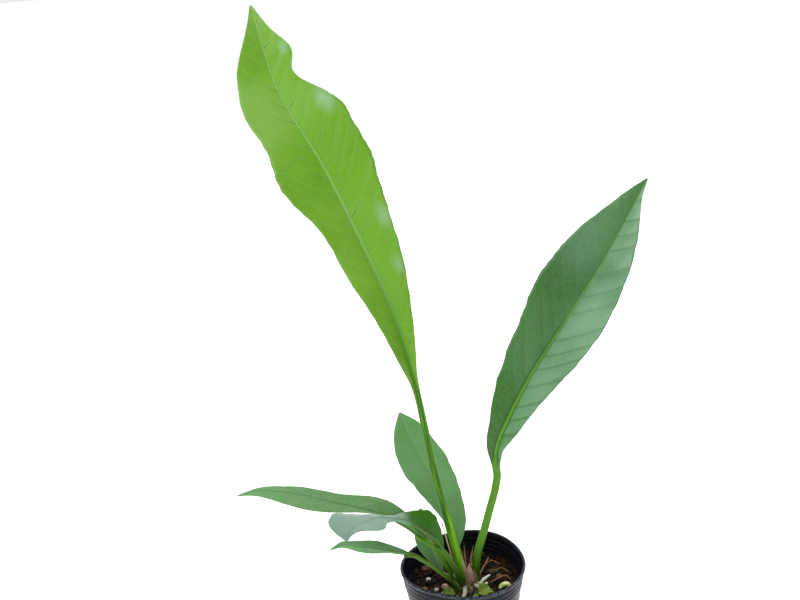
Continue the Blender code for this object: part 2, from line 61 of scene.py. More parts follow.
# Driving places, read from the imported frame
crown_low, crown_high = box_of("stem_crown")
CROWN = np.array((*((crown_low + crown_high) / 2)[:2], crown_high[2]))
CROWN_RADIUS = (crown_high[0] - crown_low[0]) / 2
pot_low, pot_high = box_of("nursery_pot")
POT_HEIGHT = pot_high[2] - pot_low[2]

# The pot's and the mix's own sizes, as in the CAD model
RIM_RADIUS = 0.0513
BASE_RADIUS = 0.039
# The mouth is out of round: waves round it, their size, and where each is highest, in degrees
MOUTH_WAVES = ((1, 0.0022, 45), (2, 0.0012, -10), (3, 0.0021, -160))
POT_WALL = 0.0012
POT_FLOOR = 0.0015
MIX_GAP = 0.0003  # between the mix and the pot
CROWN_ABOVE_MIX = 0.007
SOIL_TOP = CROWN[2] - CROWN_ABOVE_MIX
SOIL_RADIUS = BASE_RADIUS + (RIM_RADIUS - BASE_RADIUS) * SOIL_TOP / POT_HEIGHT - POT_WALL - MIX_GAP
RIBS = (6.5, 10.5, 14.5)  # mm below the mouth
# The bead at the mouth, out over it and back in: mm below the mouth, mm outside the wall
BEAD = ((2.5, 0.4), (2.1, 0.9), (1.5, 1.2), (0.7, 1.2), (0.2, 0.84), (0, 0.2), (0.2, -0.72), (0.7, -1.2))
RIM_AT = 0.90  # where the rim's top lies on the pot's profile, in tenths of a metre
DRAIN_HOLES = 6
DRAIN_HOLE_RADIUS = 0.004
DRAIN_RING_RADIUS = 0.027

# Thin tissue, in mm
BLADE_THICKNESS = 0.45  # away from the midrib
SHEATH_THICKNESS = 0.35
WEED_THICKNESS = 0.4
SEED_RADIUS = 2.3

# How many bits lie in and on the mix
CRUMBS = 1500
MIX_FIBRES = 210
CROWN_FIBRES = 120

# Camera and studio
LENS = 45.0
SENSOR_WIDTH = 36.0
CAMERA_FROM_CROWN = Vector((-0.0370, -0.7280, 0.4952))
CAMERA_PITCH = math.radians(18.2)
CAMERA_ROLL = math.radians(4.5)
FRONT_WORLD = 0.30  # the studio is darker on the camera's side
BACK_WORLD = 0.85
FLOOR_GLOW = 0.5  # a lit table, so that the floor stays white out to the horizon
FLOOR_REACH = 400.0
LAMP_SIZE = 1.0
# Each lamp's place and power in watts
LAMPS = {"key": ((-1.1, -0.8, 1.9), 26), "back": ((0.7, 1.1, 1.7), 24)}
LAMP_TARGET = (float(CROWN[0]), float(CROWN[1]), 0.25)


# ---- Curves and meshes


def smooth_between(knots, values, at):
    """Reads a smooth curve through values at knots, for each parameter in at."""
    knots = np.asarray(knots, float)
    values = np.asarray(values, float).reshape(len(knots), -1)
    slopes = np.gradient(values, knots, axis=0)
    slot = np.clip(np.searchsorted(knots, at, side="right") - 1, 0, len(knots) - 2)
    span = (knots[slot + 1] - knots[slot])[:, None]
    u = (at - knots[slot])[:, None] / span
    start = (2 * u**3 - 3 * u**2 + 1) * values[slot] + (u**3 - 2 * u**2 + u) * span * slopes[slot]
    end = (3 * u**2 - 2 * u**3) * values[slot + 1] + (u**3 - u**2) * span * slopes[slot + 1]
    return start + end


def evenly(rows, count):
    """Reads evenly spaced rows at count shares from the first to the last."""
    return smooth_between(np.linspace(0, 1, len(rows)), rows, np.linspace(0, 1, count))


def walk(points, count):
    """Points evenly spaced along a smooth curve through the given points."""
    points = np.asarray(points, float)
    chords = np.linalg.norm(np.diff(points, axis=0), axis=1)
    knots = np.concatenate(([0], np.cumsum(chords)))
    fine = smooth_between(knots, points, np.linspace(0, knots[-1], 30 * count))
    lengths = np.concatenate(([0], np.cumsum(np.linalg.norm(np.diff(fine, axis=0), axis=1))))
    wanted = np.linspace(0, lengths[-1], count)
    return np.stack([np.interp(wanted, lengths, fine[:, axis]) for axis in range(3)], axis=1)


def unit(vectors):
    return vectors / np.linalg.norm(vectors, axis=-1, keepdims=True)


def axes_along(path, facing):
    """Tangent, side and facing directions at each point of a path."""
    along = unit(np.gradient(path, axis=0))
    front = evenly(facing, len(path))
    front = unit(front - np.sum(front * along, axis=1, keepdims=True) * along)
    return along, np.cross(along, front), front


def on_plant(points):
    """World places of points given in millimetres from the crown's top."""
    return np.asarray(points, float) * MM + CROWN


def add_mesh(name, points, faces, surfaces, layers=None, indices=None, smooth=True):
    """A mesh object. layers holds a pair for each point by layer name, indices a material for each face."""
    mesh = bpy.data.meshes.new(name)
    mesh.from_pydata([tuple(point) for point in points], [], [tuple(face) for face in faces])
    corners = np.empty(len(mesh.loops), int)
    mesh.loops.foreach_get("vertex_index", corners)
    for layer_name, pairs in (layers or {}).items():
        layer = mesh.uv_layers.new(name=layer_name)
        layer.data.foreach_set("uv", np.asarray(pairs, float)[corners].ravel())
    for surface in surfaces:
        mesh.materials.append(surface)
    if indices is not None:
        mesh.polygons.foreach_set("material_index", indices)
    piece = bpy.data.objects.new(name, mesh)
    bpy.context.scene.collection.objects.link(piece)
    if smooth:
        mesh.shade_smooth()
    return piece


def turns(sides):
    """Angles evenly spaced round a ring."""
    return np.linspace(0, 2 * math.pi, sides, endpoint=False)


def skin(rings, sides, first=0):
    """Faces between rings of points, each ring sides points long."""
    faces = []
    for ring in range(rings - 1):
        for side in range(sides):
            a, b = (first + ring * sides + corner for corner in (side, (side + 1) % sides))
            faces.append((a, b, b + sides, a + sides))
    return faces


def fan(first, sides, tip):
    """Triangles from a ring of points to a tip."""
    return [(first + side, first + (side + 1) % sides, tip) for side in range(sides)]


def cap(first, sides):
    """One face over a ring of points, facing back along the rings."""
    return tuple(first + side for side in range(sides))[::-1]


def domed(rings, sides):
    """Faces of a body of rings with a flat foot and one last point on top."""
    return [cap(0, sides), *skin(rings, sides), *fan((rings - 1) * sides, sides, rings * sides)]


def stand_for(piece, nodes):
    """The piece rides on the plant and hides its CAD nodes."""
    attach(piece, "root")
    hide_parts(*nodes)
    return piece


def shell(name, upper, lower, layers, surfaces):
    """A closed thin shell between two grids of points, its underside in the second material."""
    rows, columns = upper.shape[:2]
    points = np.concatenate((upper.reshape(-1, 3), lower.reshape(-1, 3)))
    under = rows * columns
    row, column = np.meshgrid(np.arange(rows - 1), np.arange(columns - 1), indexing="ij")
    a = (row * columns + column).ravel()
    top = np.stack((a, a + 1, a + 1 + columns, a + columns), axis=1)
    bottom = np.stack((a + columns, a + 1 + columns, a + 1, a), axis=1) + under
    edge = list(range(columns)) + [r * columns + columns - 1 for r in range(1, rows)]
    edge += [(rows - 1) * columns + c for c in range(columns - 2, -1, -1)]
    edge += [r * columns for r in range(rows - 2, 0, -1)]
    edge = np.array(edge)
    after = np.roll(edge, -1)
    rim = np.stack((after, edge, edge + under, after + under), axis=1)
    faces = np.concatenate((top, bottom, rim))
    indices = np.concatenate((np.zeros(len(top), int), np.ones(len(bottom), int), np.zeros(len(rim), int)))
    both = {layer: np.concatenate((pairs, pairs)) for layer, pairs in layers.items()}
    return add_mesh(name, points, faces, surfaces, both, indices)


def sheet(centre, across, front, reach, rise, thickness):
    """The two sides of a thin sheet along a path: reach across it, rise and thickness in mm."""
    upper = centre[:, None] + across[:, None] * reach[..., None] * MM + front[:, None] * rise[..., None] * MM
    return upper, upper - front[:, None] * np.asarray(thickness)[..., None] * MM


def tube(name, path, radii, surfaces, sides=20, facing=((0, 0, 1), (0, 0, 1)), section=None, flat=1.0):
    """A round-ended tube. section gives the radius's share for each corner angle."""
    _, across, front = axes_along(path, facing)
    angles = turns(sides)
    shares = np.ones(sides) if section is None else np.array([section(angle) for angle in angles])
    ring = across[:, None] * (np.cos(angles) * shares)[None, :, None]
    ring = ring + front[:, None] * (np.sin(angles) * shares * flat)[None, :, None]
    points = path[:, None] + ring * np.asarray(radii)[:, None, None]
    steps = np.concatenate(([0], np.cumsum(np.linalg.norm(np.diff(path, axis=0), axis=1))))
    uv = np.stack(np.broadcast_arrays((angles / (2 * math.pi))[None, :], steps[:, None] * 10), axis=2)
    points = [*points.reshape(-1, 3), path[0], path[-1]]
    uv = [*uv.reshape(-1, 2), (0.5, steps[0] * 10), (0.5, steps[-1] * 10)]
    count = len(path) * sides
    faces = skin(len(path), sides) + [face[::-1] for face in fan(0, sides, count)]
    faces += fan(count - sides, sides, count + 1)
    return add_mesh(name, points, faces, surfaces, {"Surface": uv})


# ---- Materials


class Nodes:
    """Short calls for building a material's node tree."""

    def __init__(self, name):
        self.material = bpy.data.materials.new(name)
        self.material.use_nodes = True
        self.tree = self.material.node_tree
        self.shader = self.tree.nodes["Principled BSDF"]
        self.output = self.tree.nodes["Material Output"]

    def add(self, kind, **settings):
        node = self.tree.nodes.new(kind)
        for key, value in settings.items():
            setattr(node, key, value)
        return node

    def link(self, source, target):
        self.tree.links.new(source, target)

    def feed(self, socket, value):
        if isinstance(value, (int, float)):
            socket.default_value = value
        elif isinstance(value, tuple):
            socket.default_value = (*value, 1.0) if len(value) == 3 and socket.type == "RGBA" else value
        else:
            self.link(value, socket)

    def math(self, operation, first, second=0.0):
        node = self.add("ShaderNodeMath", operation=operation)
        self.feed(node.inputs[0], first)
        self.feed(node.inputs[1], second)
        return node.outputs[0]

    def span(self, value, low, high, to_low=0.0, to_high=1.0):
        """value from low to high, smoothly as to_low to to_high."""
        node = self.add("ShaderNodeMapRange", interpolation_type="SMOOTHSTEP")
        for socket, number in zip(node.inputs, (value, low, high, to_low, to_high)):
            self.feed(socket, number)
        return node.outputs[0]

    def times(self, first, second):
        return self.math("MULTIPLY", first, second)

    def plus(self, first, second):
        return self.math("ADD", first, second)

    def minus(self, first, second):
        return self.math("SUBTRACT", first, second)

    def mix(self, share, first, second):
        node = self.add("ShaderNodeMix", data_type="RGBA")
        self.feed(node.inputs[0], share)
        self.feed(node.inputs[6], first)
        self.feed(node.inputs[7], second)
        return node.outputs[2]

    def tint(self, colour, other, share, strength):
        """colour, turned to other by share times strength."""
        return self.mix(self.times(share, strength), colour, other)

    def grain(self, around, along, scale, detail):
        """Noise stretched by around and along over the piece's own surface."""
        place = self.add("ShaderNodeCombineXYZ")
        for socket, part, stretch in zip(place.inputs, self.coordinates("Surface"), (around, along)):
            self.feed(socket, self.times(part, stretch))
        return self.noise(scale, detail, place.outputs[0])

    def noise(self, scale, detail=3.0, vector=None):
        """Noise of a size of about one metre over scale."""
        node = self.add("ShaderNodeTexNoise")
        for key, value in (("Scale", scale), ("Detail", detail), ("Roughness", 0.55)):
            node.inputs[key].default_value = value
        self.link(vector or self.add("ShaderNodeTexCoord").outputs["Object"], node.inputs["Vector"])
        return node.outputs[0]

    def coordinates(self, layer):
        """The two parts of a piece's own surface coordinates."""
        node = self.add("ShaderNodeUVMap", uv_map=layer)
        split = self.add("ShaderNodeSeparateXYZ")
        self.link(node.outputs[0], split.inputs[0])
        return split.outputs[0], split.outputs[1]

    def bump(self, height, distance, strength):
        node = self.add("ShaderNodeBump")
        node.inputs["Distance"].default_value = distance
        node.inputs["Strength"].default_value = strength
        self.link(height, node.inputs["Height"])
        self.link(node.outputs[0], self.shader.inputs["Normal"])

    def put(self, colour, roughness, specular):
        """The colour, roughness and gloss of the surface."""
        self.feed(self.shader.inputs["Base Color"], colour)
        self.feed(self.shader.inputs["Roughness"], roughness)
        self.feed(self.shader.inputs["Specular IOR Level"], specular)
        return self.material

    def let_light_through(self, share, colour):
        """Mixes in light that passes through the thin blade."""
        through = self.add("ShaderNodeBsdfTranslucent")
        self.feed(through.inputs["Color"], colour)
        blend = self.add("ShaderNodeMixShader")
        blend.inputs[0].default_value = share
        self.link(self.shader.outputs[0], blend.inputs[1])
        self.link(through.outputs[0], blend.inputs[2])
        self.link(blend.outputs[0], self.output.inputs["Surface"])


def leaf_surface(name, look, under=False):
    """Blade tissue with midrib, side veins, fine net, mottling, a pale margin and painted sheen and shade.

    The surface coordinates are tenths of a metre: reach from the midrib, plus along the
    right half and minus along the left, and distance from the foot. The vein coordinates
    are the count of veins passed and the share of the half width.
    """
    nodes = Nodes(name)
    across, along = nodes.coordinates("Surface")
    turn, share = nodes.coordinates("Veins")
    right = nodes.math("GREATER_THAN", across, 0.0)
    wander = nodes.times(nodes.minus(nodes.noise(45.0, 2.0), 0.5), 0.10)
    turn = nodes.plus(turn, wander)
    near = nodes.math("ABSOLUTE", nodes.minus(nodes.math("FRACT", turn), 0.5))
    vein = nodes.span(near, 0.0, look["vein_width"], 1.0, 0.0)
    # Painted light beside the side veins: painted sheen where the flank colour is paler than the blade,
    # painted shade in the vein grooves where it is darker
    vein_flank_light = nodes.span(near, look["vein_width"], look["vein_width"] * 5, 1.0, 0.0)
    fade = nodes.span(share, *look["vein_fade"], 1.0, look["vein_end"])
    fine = nodes.minus(nodes.math("FRACT", nodes.times(turn, 5.0)), 0.5)
    fine = nodes.span(nodes.math("ABSOLUTE", fine), 0.0, 0.12, 1.0, 0.0)
    rib_half = nodes.span(along, 0.0, look["length"], look["rib_width"], look["rib_width"] * 0.22)
    off_rib = nodes.math("DIVIDE", nodes.math("ABSOLUTE", across), rib_half)
    rib = nodes.span(off_rib, 0.8, 1.15, 1.0, 0.0)
    rib_shade = nodes.span(off_rib, 1.0, 3.2, 1.0, 0.0)
    blotch = nodes.span(nodes.noise(look["blotch_scale"]), 0.38, 0.62)
    speck = nodes.span(nodes.noise(380.0), 0.35, 0.65)
    # Painted sheen: broad noise patches tinted to the pale colour
    sheen = nodes.span(nodes.noise(9.0, 2.0), 0.45, 0.70)
    # Painted light on the right half: a tint broken into patches by noise, painted sheen where it is paler
    # than the blade and painted shade where it is darker
    most = look["right_painted_light_share"]
    right_painted_light = nodes.span(nodes.noise(24.0, 4.0), 0.36, 0.60, look["right_painted_light_even"] * most, most)
    colour = nodes.mix(blotch, look["base"], look["shade"])
    for other, part, strength in (
        ("right", right, right_painted_light), ("pale", sheen, look["painted_sheen_share"]),
        ("fleck", speck, look["fleck_share"]), ("fleck", fine, look["fine_share"]),
        ("vein_flank_light", vein_flank_light, look["vein_flank_light_share"]), ("vein", vein, nodes.times(fade, look["vein_share"])),
        ("shade", rib_shade, look["rib_shade_share"]),
    ):
        colour = nodes.tint(colour, look[other], part, strength)
    # The spots are painted sheen highlights, placed on the blade by reach and distance
    for side, off, distance, size, strength in look["spots"]:
        wide = nodes.math("DIVIDE", nodes.minus(across, side * off), size)
        tall = nodes.math("DIVIDE", nodes.minus(along, distance), size * 1.6)
        away = nodes.math("SQRT", nodes.plus(nodes.times(wide, wide), nodes.times(tall, tall)))
        spot = nodes.span(nodes.plus(away, wander), 0.0, 1.0, strength, 0.0)
        colour = nodes.mix(spot, colour, look["sheen_spot_colour"])
    # Painted sheen: the blade turns to the pale colour towards its far part, where it lies flatter and
    # reflects the bright studio
    tip_sheen_start, tip_sheen_full = (look["length"] * part for part in look["tip_sheen_span"])
    colour = nodes.mix(nodes.span(along, tip_sheen_start, tip_sheen_full, 0.0, look["tip_sheen_share"]), colour, look["pale"])
    foot = nodes.span(along, 0.0, look["length"] * 0.5, 1.0, 0.0)
    colour = nodes.mix(rib, colour, nodes.mix(foot, look["rib"], look["rib_foot"]))
    colour = nodes.tint(colour, look["edge"], nodes.span(share, 0.975, 0.995), 0.6)
    cells = nodes.add("ShaderNodeTexVoronoi", feature="DISTANCE_TO_EDGE")
    cells.inputs["Scale"].default_value = 620.0
    nodes.link(nodes.add("ShaderNodeTexCoord").outputs["Object"], cells.inputs["Vector"])
    net = nodes.span(cells.outputs[0], 0.0, 0.10)
    colour = nodes.tint(colour, look["fleck"], nodes.minus(1.0, net), look["net_share"])
    height = nodes.times(vein, nodes.times(fade, look["vein_rise"]))
    height = nodes.plus(height, nodes.times(net, 0.12))
    nodes.bump(nodes.plus(height, nodes.times(nodes.noise(170.0), 0.30)), 0.0004, 0.6)
    gloss = look["roughness"] + (0.18 if under else 0.0)
    rough = nodes.span(nodes.noise(60.0, 4.0), 0.3, 0.7, gloss - 0.06, gloss + 0.08)
    nodes.put(colour, rough, 0.25 if under else look["specular"])
    nodes.let_light_through(look["through"], nodes.mix(0.55, colour, look["glow"]))
    return nodes.material


def stalk_surface(name, upper, lower, streak):
    """Stalk tissue: colour turns from foot to top, with long streaks and pale specks."""
    nodes = Nodes(name)
    _, along = nodes.coordinates("Surface")
    colour = nodes.mix(nodes.span(along, 0.0, 0.55), lower, upper)
    lines = nodes.grain(9.0, 1.2, 3.0, 4.0)
    colour = nodes.mix(nodes.span(lines, 0.42, 0.68), colour, streak)
    flecks = nodes.span(nodes.noise(900.0, 1.0), 0.62, 0.72)
    colour = nodes.tint(colour, (0.35, 0.50, 0.15), flecks, 0.12)
    nodes.bump(nodes.plus(nodes.times(lines, 0.8), nodes.times(flecks, 0.3)), 0.0003, 0.5)
    return nodes.put(colour, nodes.span(lines, 0.3, 0.7, 0.37, 0.52), 0.22)


def dry_surface(name, light, dark):
    """Dry papery or fibrous tissue with lengthwise grain."""
    nodes = Nodes(name)
    lines = nodes.grain(30.0, 3.0, 4.0, 5.0)
    spots = nodes.noise(400.0, 4.0)
    colour = nodes.mix(nodes.span(lines, 0.35, 0.65), light, dark)
    colour = nodes.tint(colour, dark, nodes.span(spots, 0.5, 0.7), 0.6)
    nodes.bump(nodes.plus(lines, nodes.times(spots, 0.6)), 0.0004, 0.8)
    return nodes.put(colour, nodes.span(spots, 0.3, 0.7, 0.72, 0.88), 0.3)


# ---- Leaves


LEAVES = {}
LEAVES["tall_leaf"] = dict(
    petiole=[(-0.2, 4.6, 0), (-5, 2.5, 21), (-11, 4.5, 53), (-19.5, 7.5, 100), (-25.5, 11.5, 145)],
    radii=[3.6, 3.4, 3.1, 2.8, 2.7],
    rib=[
        (-29, 14, 170), (-43, 22.5, 237), (-64, 32.5, 296), (-89, 46.5, 356), (-119, 64.5, 414),
        (-135, 84.5, 478),
    ],
    facing=[(0.35, -0.9, 0.2), (0.15, -0.95, 0.3), (0.0, -0.95, 0.3)],
    outline=[
        (0, 3.4, 2.9), (0.05, 7.5, 4.6), (0.1, 12, 8), (0.16, 16, 12), (0.22, 19, 17), (0.34, 24, 25.8),
        (0.46, 27, 31.5), (0.52, 34, 34.5), (0.58, 39, 38.8), (0.64, 35.8, 38.5), (0.7, 32.2, 38),
        (0.76, 33, 28), (0.82, 29.5, 17), (0.88, 21.5, 21), (0.94, 9.8, 9), (1, 0.7, 0.7),
    ],
    fold=[40, 20, 12, 8, 8],
    veins=dict(gap=15, lag=((0.95, 1.35, 8), (0.15, 1.05, 5)), quilt=(0.4, 0.45), wave=1.1, crimp=0.03),
    look=dict(
        # The tall leaf's darker right half is painted shade
        base=(0.2, 0.45, 0.022), shade=(0.15, 0.385, 0.012), right=(0.165, 0.41, 0.018), right_painted_light_share=0.5,
        pale=(0.33, 0.55, 0.19), painted_sheen_share=0.42, fleck=(0.26, 0.5, 0.07), rib=(0.28, 0.51, 0.14),
        # The tall leaf's dark rib foot is painted shade in the folded channel at the base of the midrib
        rib_foot=(0.1, 0.3, 0.012), vein=(0.03, 0.15, 0.003), vein_flank_light=(0.27, 0.51, 0.09), vein_flank_light_share=0.35,
        vein_share=0.9, vein_fade=(0.12, 0.55), fine_share=0.28, rib_width=0.017, rib_shade_share=0.55,
        # Painted sheen highlights along the right margin
        spots=(
            (1, 0.29, 2.42, 0.11, 0.6), (1, 0.15, 2.97, 0.06, 0.5), (1, 0.25, 1.43, 0.09, 0.45),
            (1, 0.19, 1.04, 0.07, 0.35),
        ),
        roughness=0.38, specular=0.35, through=0.22, glow=(0.45, 0.7, 0.03),
    ),
)
LEAVES["right_leaf"] = dict(
    petiole=[
        (8, 3.5, 0), (11, 3.5, 24), (18, 1.5, 49), (23.5, -0.5, 70), (28.5, -2.5, 89), (30.5, -3.5, 102),
    ],
    radii=[3.5, 3.3, 3.2, 3.1, 3.2, 3.8],
    rib=[
        (29.5, -5.5, 112), (31.5, -4.5, 127), (42, -1.5, 150), (60, 4.5, 180), (92, 16.5, 222),
        (128.5, 30.5, 269), (165, 46.5, 325),
    ],
    facing=[(-0.5, -0.8, 0.2), (-0.42, -0.78, 0.45), (-0.4, -0.8, 0.45)],
    outline=[
        (0, 3.4, 3.4), (0.06, 8.5, 9), (0.12, 12.5, 15), (0.19, 18, 19.5), (0.31, 25, 27),
        (0.44, 31.5, 35.5), (0.56, 36.5, 36), (0.66, 35.5, 31), (0.75, 31, 24), (0.87, 19, 12),
        (0.94, 10, 4), (1, 0.7, 0.7),
    ],
    fold=[35, 24, 22, 18, 14],
    veins=dict(gap=17, lag=((1.2, 1.6, 8), (0.3, 0.9, 8)), quilt=(0.3, 1.0), wave=0.7, crimp=0.025),
    look=dict(
        # The right leaf's grey-green right half, pale patches, spots and paler far part are painted sheen
        base=(0.031, 0.155, 0.003), shade=(0.021, 0.112, 0.002), right=(0.155, 0.335, 0.16),
        right_painted_light_share=0.9, right_painted_light_even=0.3, edge=(0.25, 0.38, 0.3), pale=(0.16, 0.34, 0.18), painted_sheen_share=0.4,
        fleck=(0.13, 0.28, 0.12), rib=(0.075, 0.25, 0.015), rib_foot=(0.13, 0.38, 0.012),
        vein=(0.14, 0.31, 0.12), vein_flank_light=(0.045, 0.16, 0.025), vein_flank_light_share=0.55, rib_shade_share=0.9,
        tip_sheen_span=(0.45, 0.85), tip_sheen_share=0.2, roughness=0.3, sheen_spot_colour=(0.25, 0.45, 0.3),
        spots=((-1, 0.17, 1.95, 0.34, 0.3), (1, 0.18, 1.45, 0.34, 0.45), (1, 0.12, 0.75, 0.2, 0.2)),
        specular=0.4, through=0.08, glow=(0.15, 0.42, 0.02),
    ),
)
LEAVES["back_leaf"] = dict(
    petiole=[(-0.6, 10.6, 0), (-2, 11.5, 15)],
    radii=[2.0, 1.9, 1.8],
    rib=[
        (-4.5, 14.5, 26), (-9.5, 22.5, 48), (-15.5, 28.5, 67), (-23, 35.5, 88), (-38, 46.5, 119),
        (-45, 54.5, 137),
    ],
    facing=[(0.15, -0.9, 0.45), (0.1, -0.85, 0.5), (0, -0.8, 0.6)],
    outline=[
        (0, 1.8, 1.8), (0.07, 2.5, 8), (0.17, 5, 14), (0.32, 11, 17.5), (0.48, 18, 19), (0.66, 21.5, 18),
        (0.8, 17, 15.5), (0.9, 11, 11), (1, 0.7, 0.7),
    ],
    fold=[30, 16, 12],
    veins=dict(gap=12, lag=((0.8, 1.3, 6), (0.8, 1.2, 6)), quilt=(0.25, 0.25), wave=0.7, crimp=0.04),
    look=dict(
        base=(0.175, 0.41, 0.15), shade=(0.125, 0.335, 0.095), rib=(0.22, 0.44, 0.19),
        rib_foot=(0.18, 0.4, 0.14), vein=(0.18, 0.39, 0.15), vein_share=0.45, pale=(0.18, 0.4, 0.18),
        roughness=0.45, specular=0.35, through=0.12, glow=(0.25, 0.55, 0.08),
    ),
)
LEAVES["long_left_leaf"] = dict(
    petiole=[(-8.6, -1.2, 0), (-14.8, -1.5, 17), (-22.5, -3.5, 34)],
    radii=[1.8, 1.9, 2.0, 2.2],
    rib=[
        (-31, -4.2, 46), (-48, -4.5, 62.5), (-66.5, -3.5, 74), (-105.5, -1.5, 87.5), (-144, 1.5, 98.5),
        (-165, 3.5, 100.5), (-183, 5.5, 96.5),
    ],
    facing=[(0.3, 0.14, 1), (0.15, 0.12, 1), (0.05, 0.05, 1), (0, 0.03, 1)],
    outline=[
        (0, 2.2, 2.2), (0.12, 7, 11), (0.25, 14, 18), (0.4, 18.5, 19), (0.55, 20, 18), (0.7, 18, 14),
        (0.85, 11, 8), (1, 0.6, 0.6),
    ],
    fold=[42, 22, 4, -3, 0],
    veins=dict(gap=13, lag=((0.9, 1.4, 6), (0.7, 1.3, 6)), quilt=(0.3, 0.35), wave=0.7, crimp=0.04),
    look=dict(
        # The long left leaf's darker right half and near-black rib are painted shade, and its paler far part
        # is painted sheen
        base=(0.038, 0.165, 0.004), shade=(0.028, 0.135, 0.003), right=(0.03, 0.14, 0.003), right_painted_light_share=0.5,
        pale=(0.15, 0.36, 0.14), painted_sheen_share=0.15, rib=(0.03, 0.09, 0.01), rib_foot=(0.04, 0.15, 0.005),
        vein=(0.09, 0.27, 0.05), rib_shade_share=0.5, tip_sheen_span=(0.4, 0.95), tip_sheen_share=0.62, roughness=0.42,
        specular=0.25, through=0.1, glow=(0.15, 0.42, 0.02),
    ),
)
LEAVES["arched_leaf"] = dict(
    petiole=[(-2.8, -3.2, 0), (-8.2, -8.2, 18), (-15.5, -12.5, 36)],
    radii=[3.0, 3.0, 2.9, 2.6],
    rib=[
        (-19.5, -14.7, 43.5), (-27.8, -19.5, 59.6), (-36.3, -24, 71.1), (-42.9, -29, 79.7),
        (-54.6, -37, 89.3), (-67.1, -47, 97.1), (-76.3, -58, 100.2), (-84.7, -69, 102.2), (-89, -76, 100.6),
        (-90.5, -79, 96.8),
    ],
    facing=[
        (0.89, -0.15, 0.43), (0.88, -0.18, 0.45), (0.7, -0.1, 0.7), (0.15, -0.05, 1), (0, -0.08, 1),
        (-0.1, -0.12, 1), (-0.3, 0.1, 0.9),
    ],
    outline=[
        (0, 2.6, 2.6), (0.08, 6, 8), (0.15, 9, 14), (0.25, 11, 17), (0.32, 8, 12.5), (0.4, 6, 8.5),
        (0.46, 5, 7.5), (0.55, 5.5, 9), (0.66, 11, 14), (0.78, 17, 23), (0.87, 14, 25), (0.94, 5.5, 17),
        (1, 0.6, 0.6),
    ],
    fold=[45, 38, 22, -12, -4, 5, 10],
    veins=dict(gap=13, lag=((0.8, 1.5, 6), (0.8, 1.5, 6)), quilt=(0.35, 0.35), wave=1.2, crimp=0.09),
    look=dict(
        # The arched leaf's grey-blue pale colour over its far part is painted sheen
        base=(0.036, 0.175, 0.001), shade=(0.028, 0.145, 0.001), pale=(0.24, 0.36, 0.3), painted_sheen_share=0.0,
        fleck=(0.06, 0.21, 0.004), rib=(0.09, 0.2, 0.07), rib_foot=(0.11, 0.07, 0.01),
        vein=(0.055, 0.205, 0.003), vein_flank_light=(0.022, 0.12, 0.001), tip_sheen_span=(0.34, 0.46), tip_sheen_share=0.86,
        roughness=0.3, specular=0.22, through=0.1, glow=(0.15, 0.45, 0.0),
    ),
)
LEAVES["short_left_leaf"] = dict(
    petiole=[(-6.4, -7.2, 0), (-12.5, -10.8, 9.5), (-23, -15.5, 24), (-34, -20.5, 37.5)],
    radii=[2.0, 1.8, 1.8, 2.0, 2.0],
    rib=[
        (-45.5, -25, 47.5), (-62.5, -29.5, 55.5), (-75, -32.5, 61), (-88, -35.5, 66), (-98, -37.5, 69.5),
        (-107.5, -39.5, 67),
    ],
    facing=[(0.3, 0.1, 1), (0.15, 0.1, 1), (0.1, 0.1, 1)],
    outline=[(0, 2, 2), (0.18, 5, 6), (0.4, 11, 11), (0.6, 11.5, 10), (0.8, 7, 6), (1, 0.6, 0.6)],
    fold=[35, 6, 0],
    veins=dict(gap=9, lag=((1.0, 1.8, 5), (1.0, 1.8, 5)), quilt=(0.2, 0.2), wave=0.4, crimp=0.05),
    look=dict(
        base=(0.135, 0.335, 0.12), shade=(0.1, 0.285, 0.08), rib=(0.05, 0.16, 0.03),
        rib_foot=(0.09, 0.2, 0.02), vein=(0.13, 0.32, 0.12), pale=(0.15, 0.34, 0.17), roughness=0.38,
        specular=0.35, through=0.12, glow=(0.22, 0.5, 0.06),
    ),
)
LEAVES["young_leaf"] = dict(
    petiole=[(-6.5, 5.5, 0), (-13.5, 5.5, 3.5)],
    radii=[1.6, 1.6, 1.6],
    rib=[(-20, 5.8, 9), (-24.5, 8.2, 24), (-30, 12.5, 48), (-34, 16.5, 65)],
    facing=[(0.1, -0.9, 0.4), (0.1, -0.9, 0.4)],
    outline=[(0, 1.6, 1.6), (0.2, 6, 7), (0.45, 12, 11), (0.7, 11, 10), (0.88, 6, 6), (1, 0.6, 0.6)],
    fold=[30, 14, 10],
    veins=dict(gap=8, lag=((1.0, 1.8, 5), (1.0, 1.8, 5)), quilt=(0.15, 0.15), wave=0.4, crimp=0.04),
    look=dict(
        base=(0.2, 0.42, 0.16), shade=(0.15, 0.35, 0.11), rib=(0.24, 0.46, 0.2), rib_foot=(0.24, 0.46, 0.2),
        vein=(0.24, 0.46, 0.2), vein_share=0.4, roughness=0.55, specular=0.3, through=0.2,
        glow=(0.35, 0.6, 0.15),
    ),
)

# What a leaf's look holds where its own doesn't say otherwise
PLAIN_LOOK = dict(
    right=(0.12, 0.28, 0.11), right_painted_light_share=0.0, right_painted_light_even=1.0, pale=(0.2, 0.4, 0.2), painted_sheen_share=0.25,
    fleck=(0.2, 0.38, 0.14), fleck_share=0.25, fine_share=0.1, net_share=0.12, vein_width=0.03,
    vein_fade=(0.25, 0.75), vein_end=0.25, vein_share=0.55, vein_rise=0.8, vein_flank_light=(0.15, 0.33, 0.12),
    vein_flank_light_share=0.2, rib_width=0.013, rib_shade_share=0.35, blotch_scale=16.0, spots=(),
    sheen_spot_colour=(0.42, 0.64, 0.46), tip_sheen_span=(0.86, 1.0), tip_sheen_share=0.25, edge=(0.24, 0.44, 0.12), specular=0.5,
)


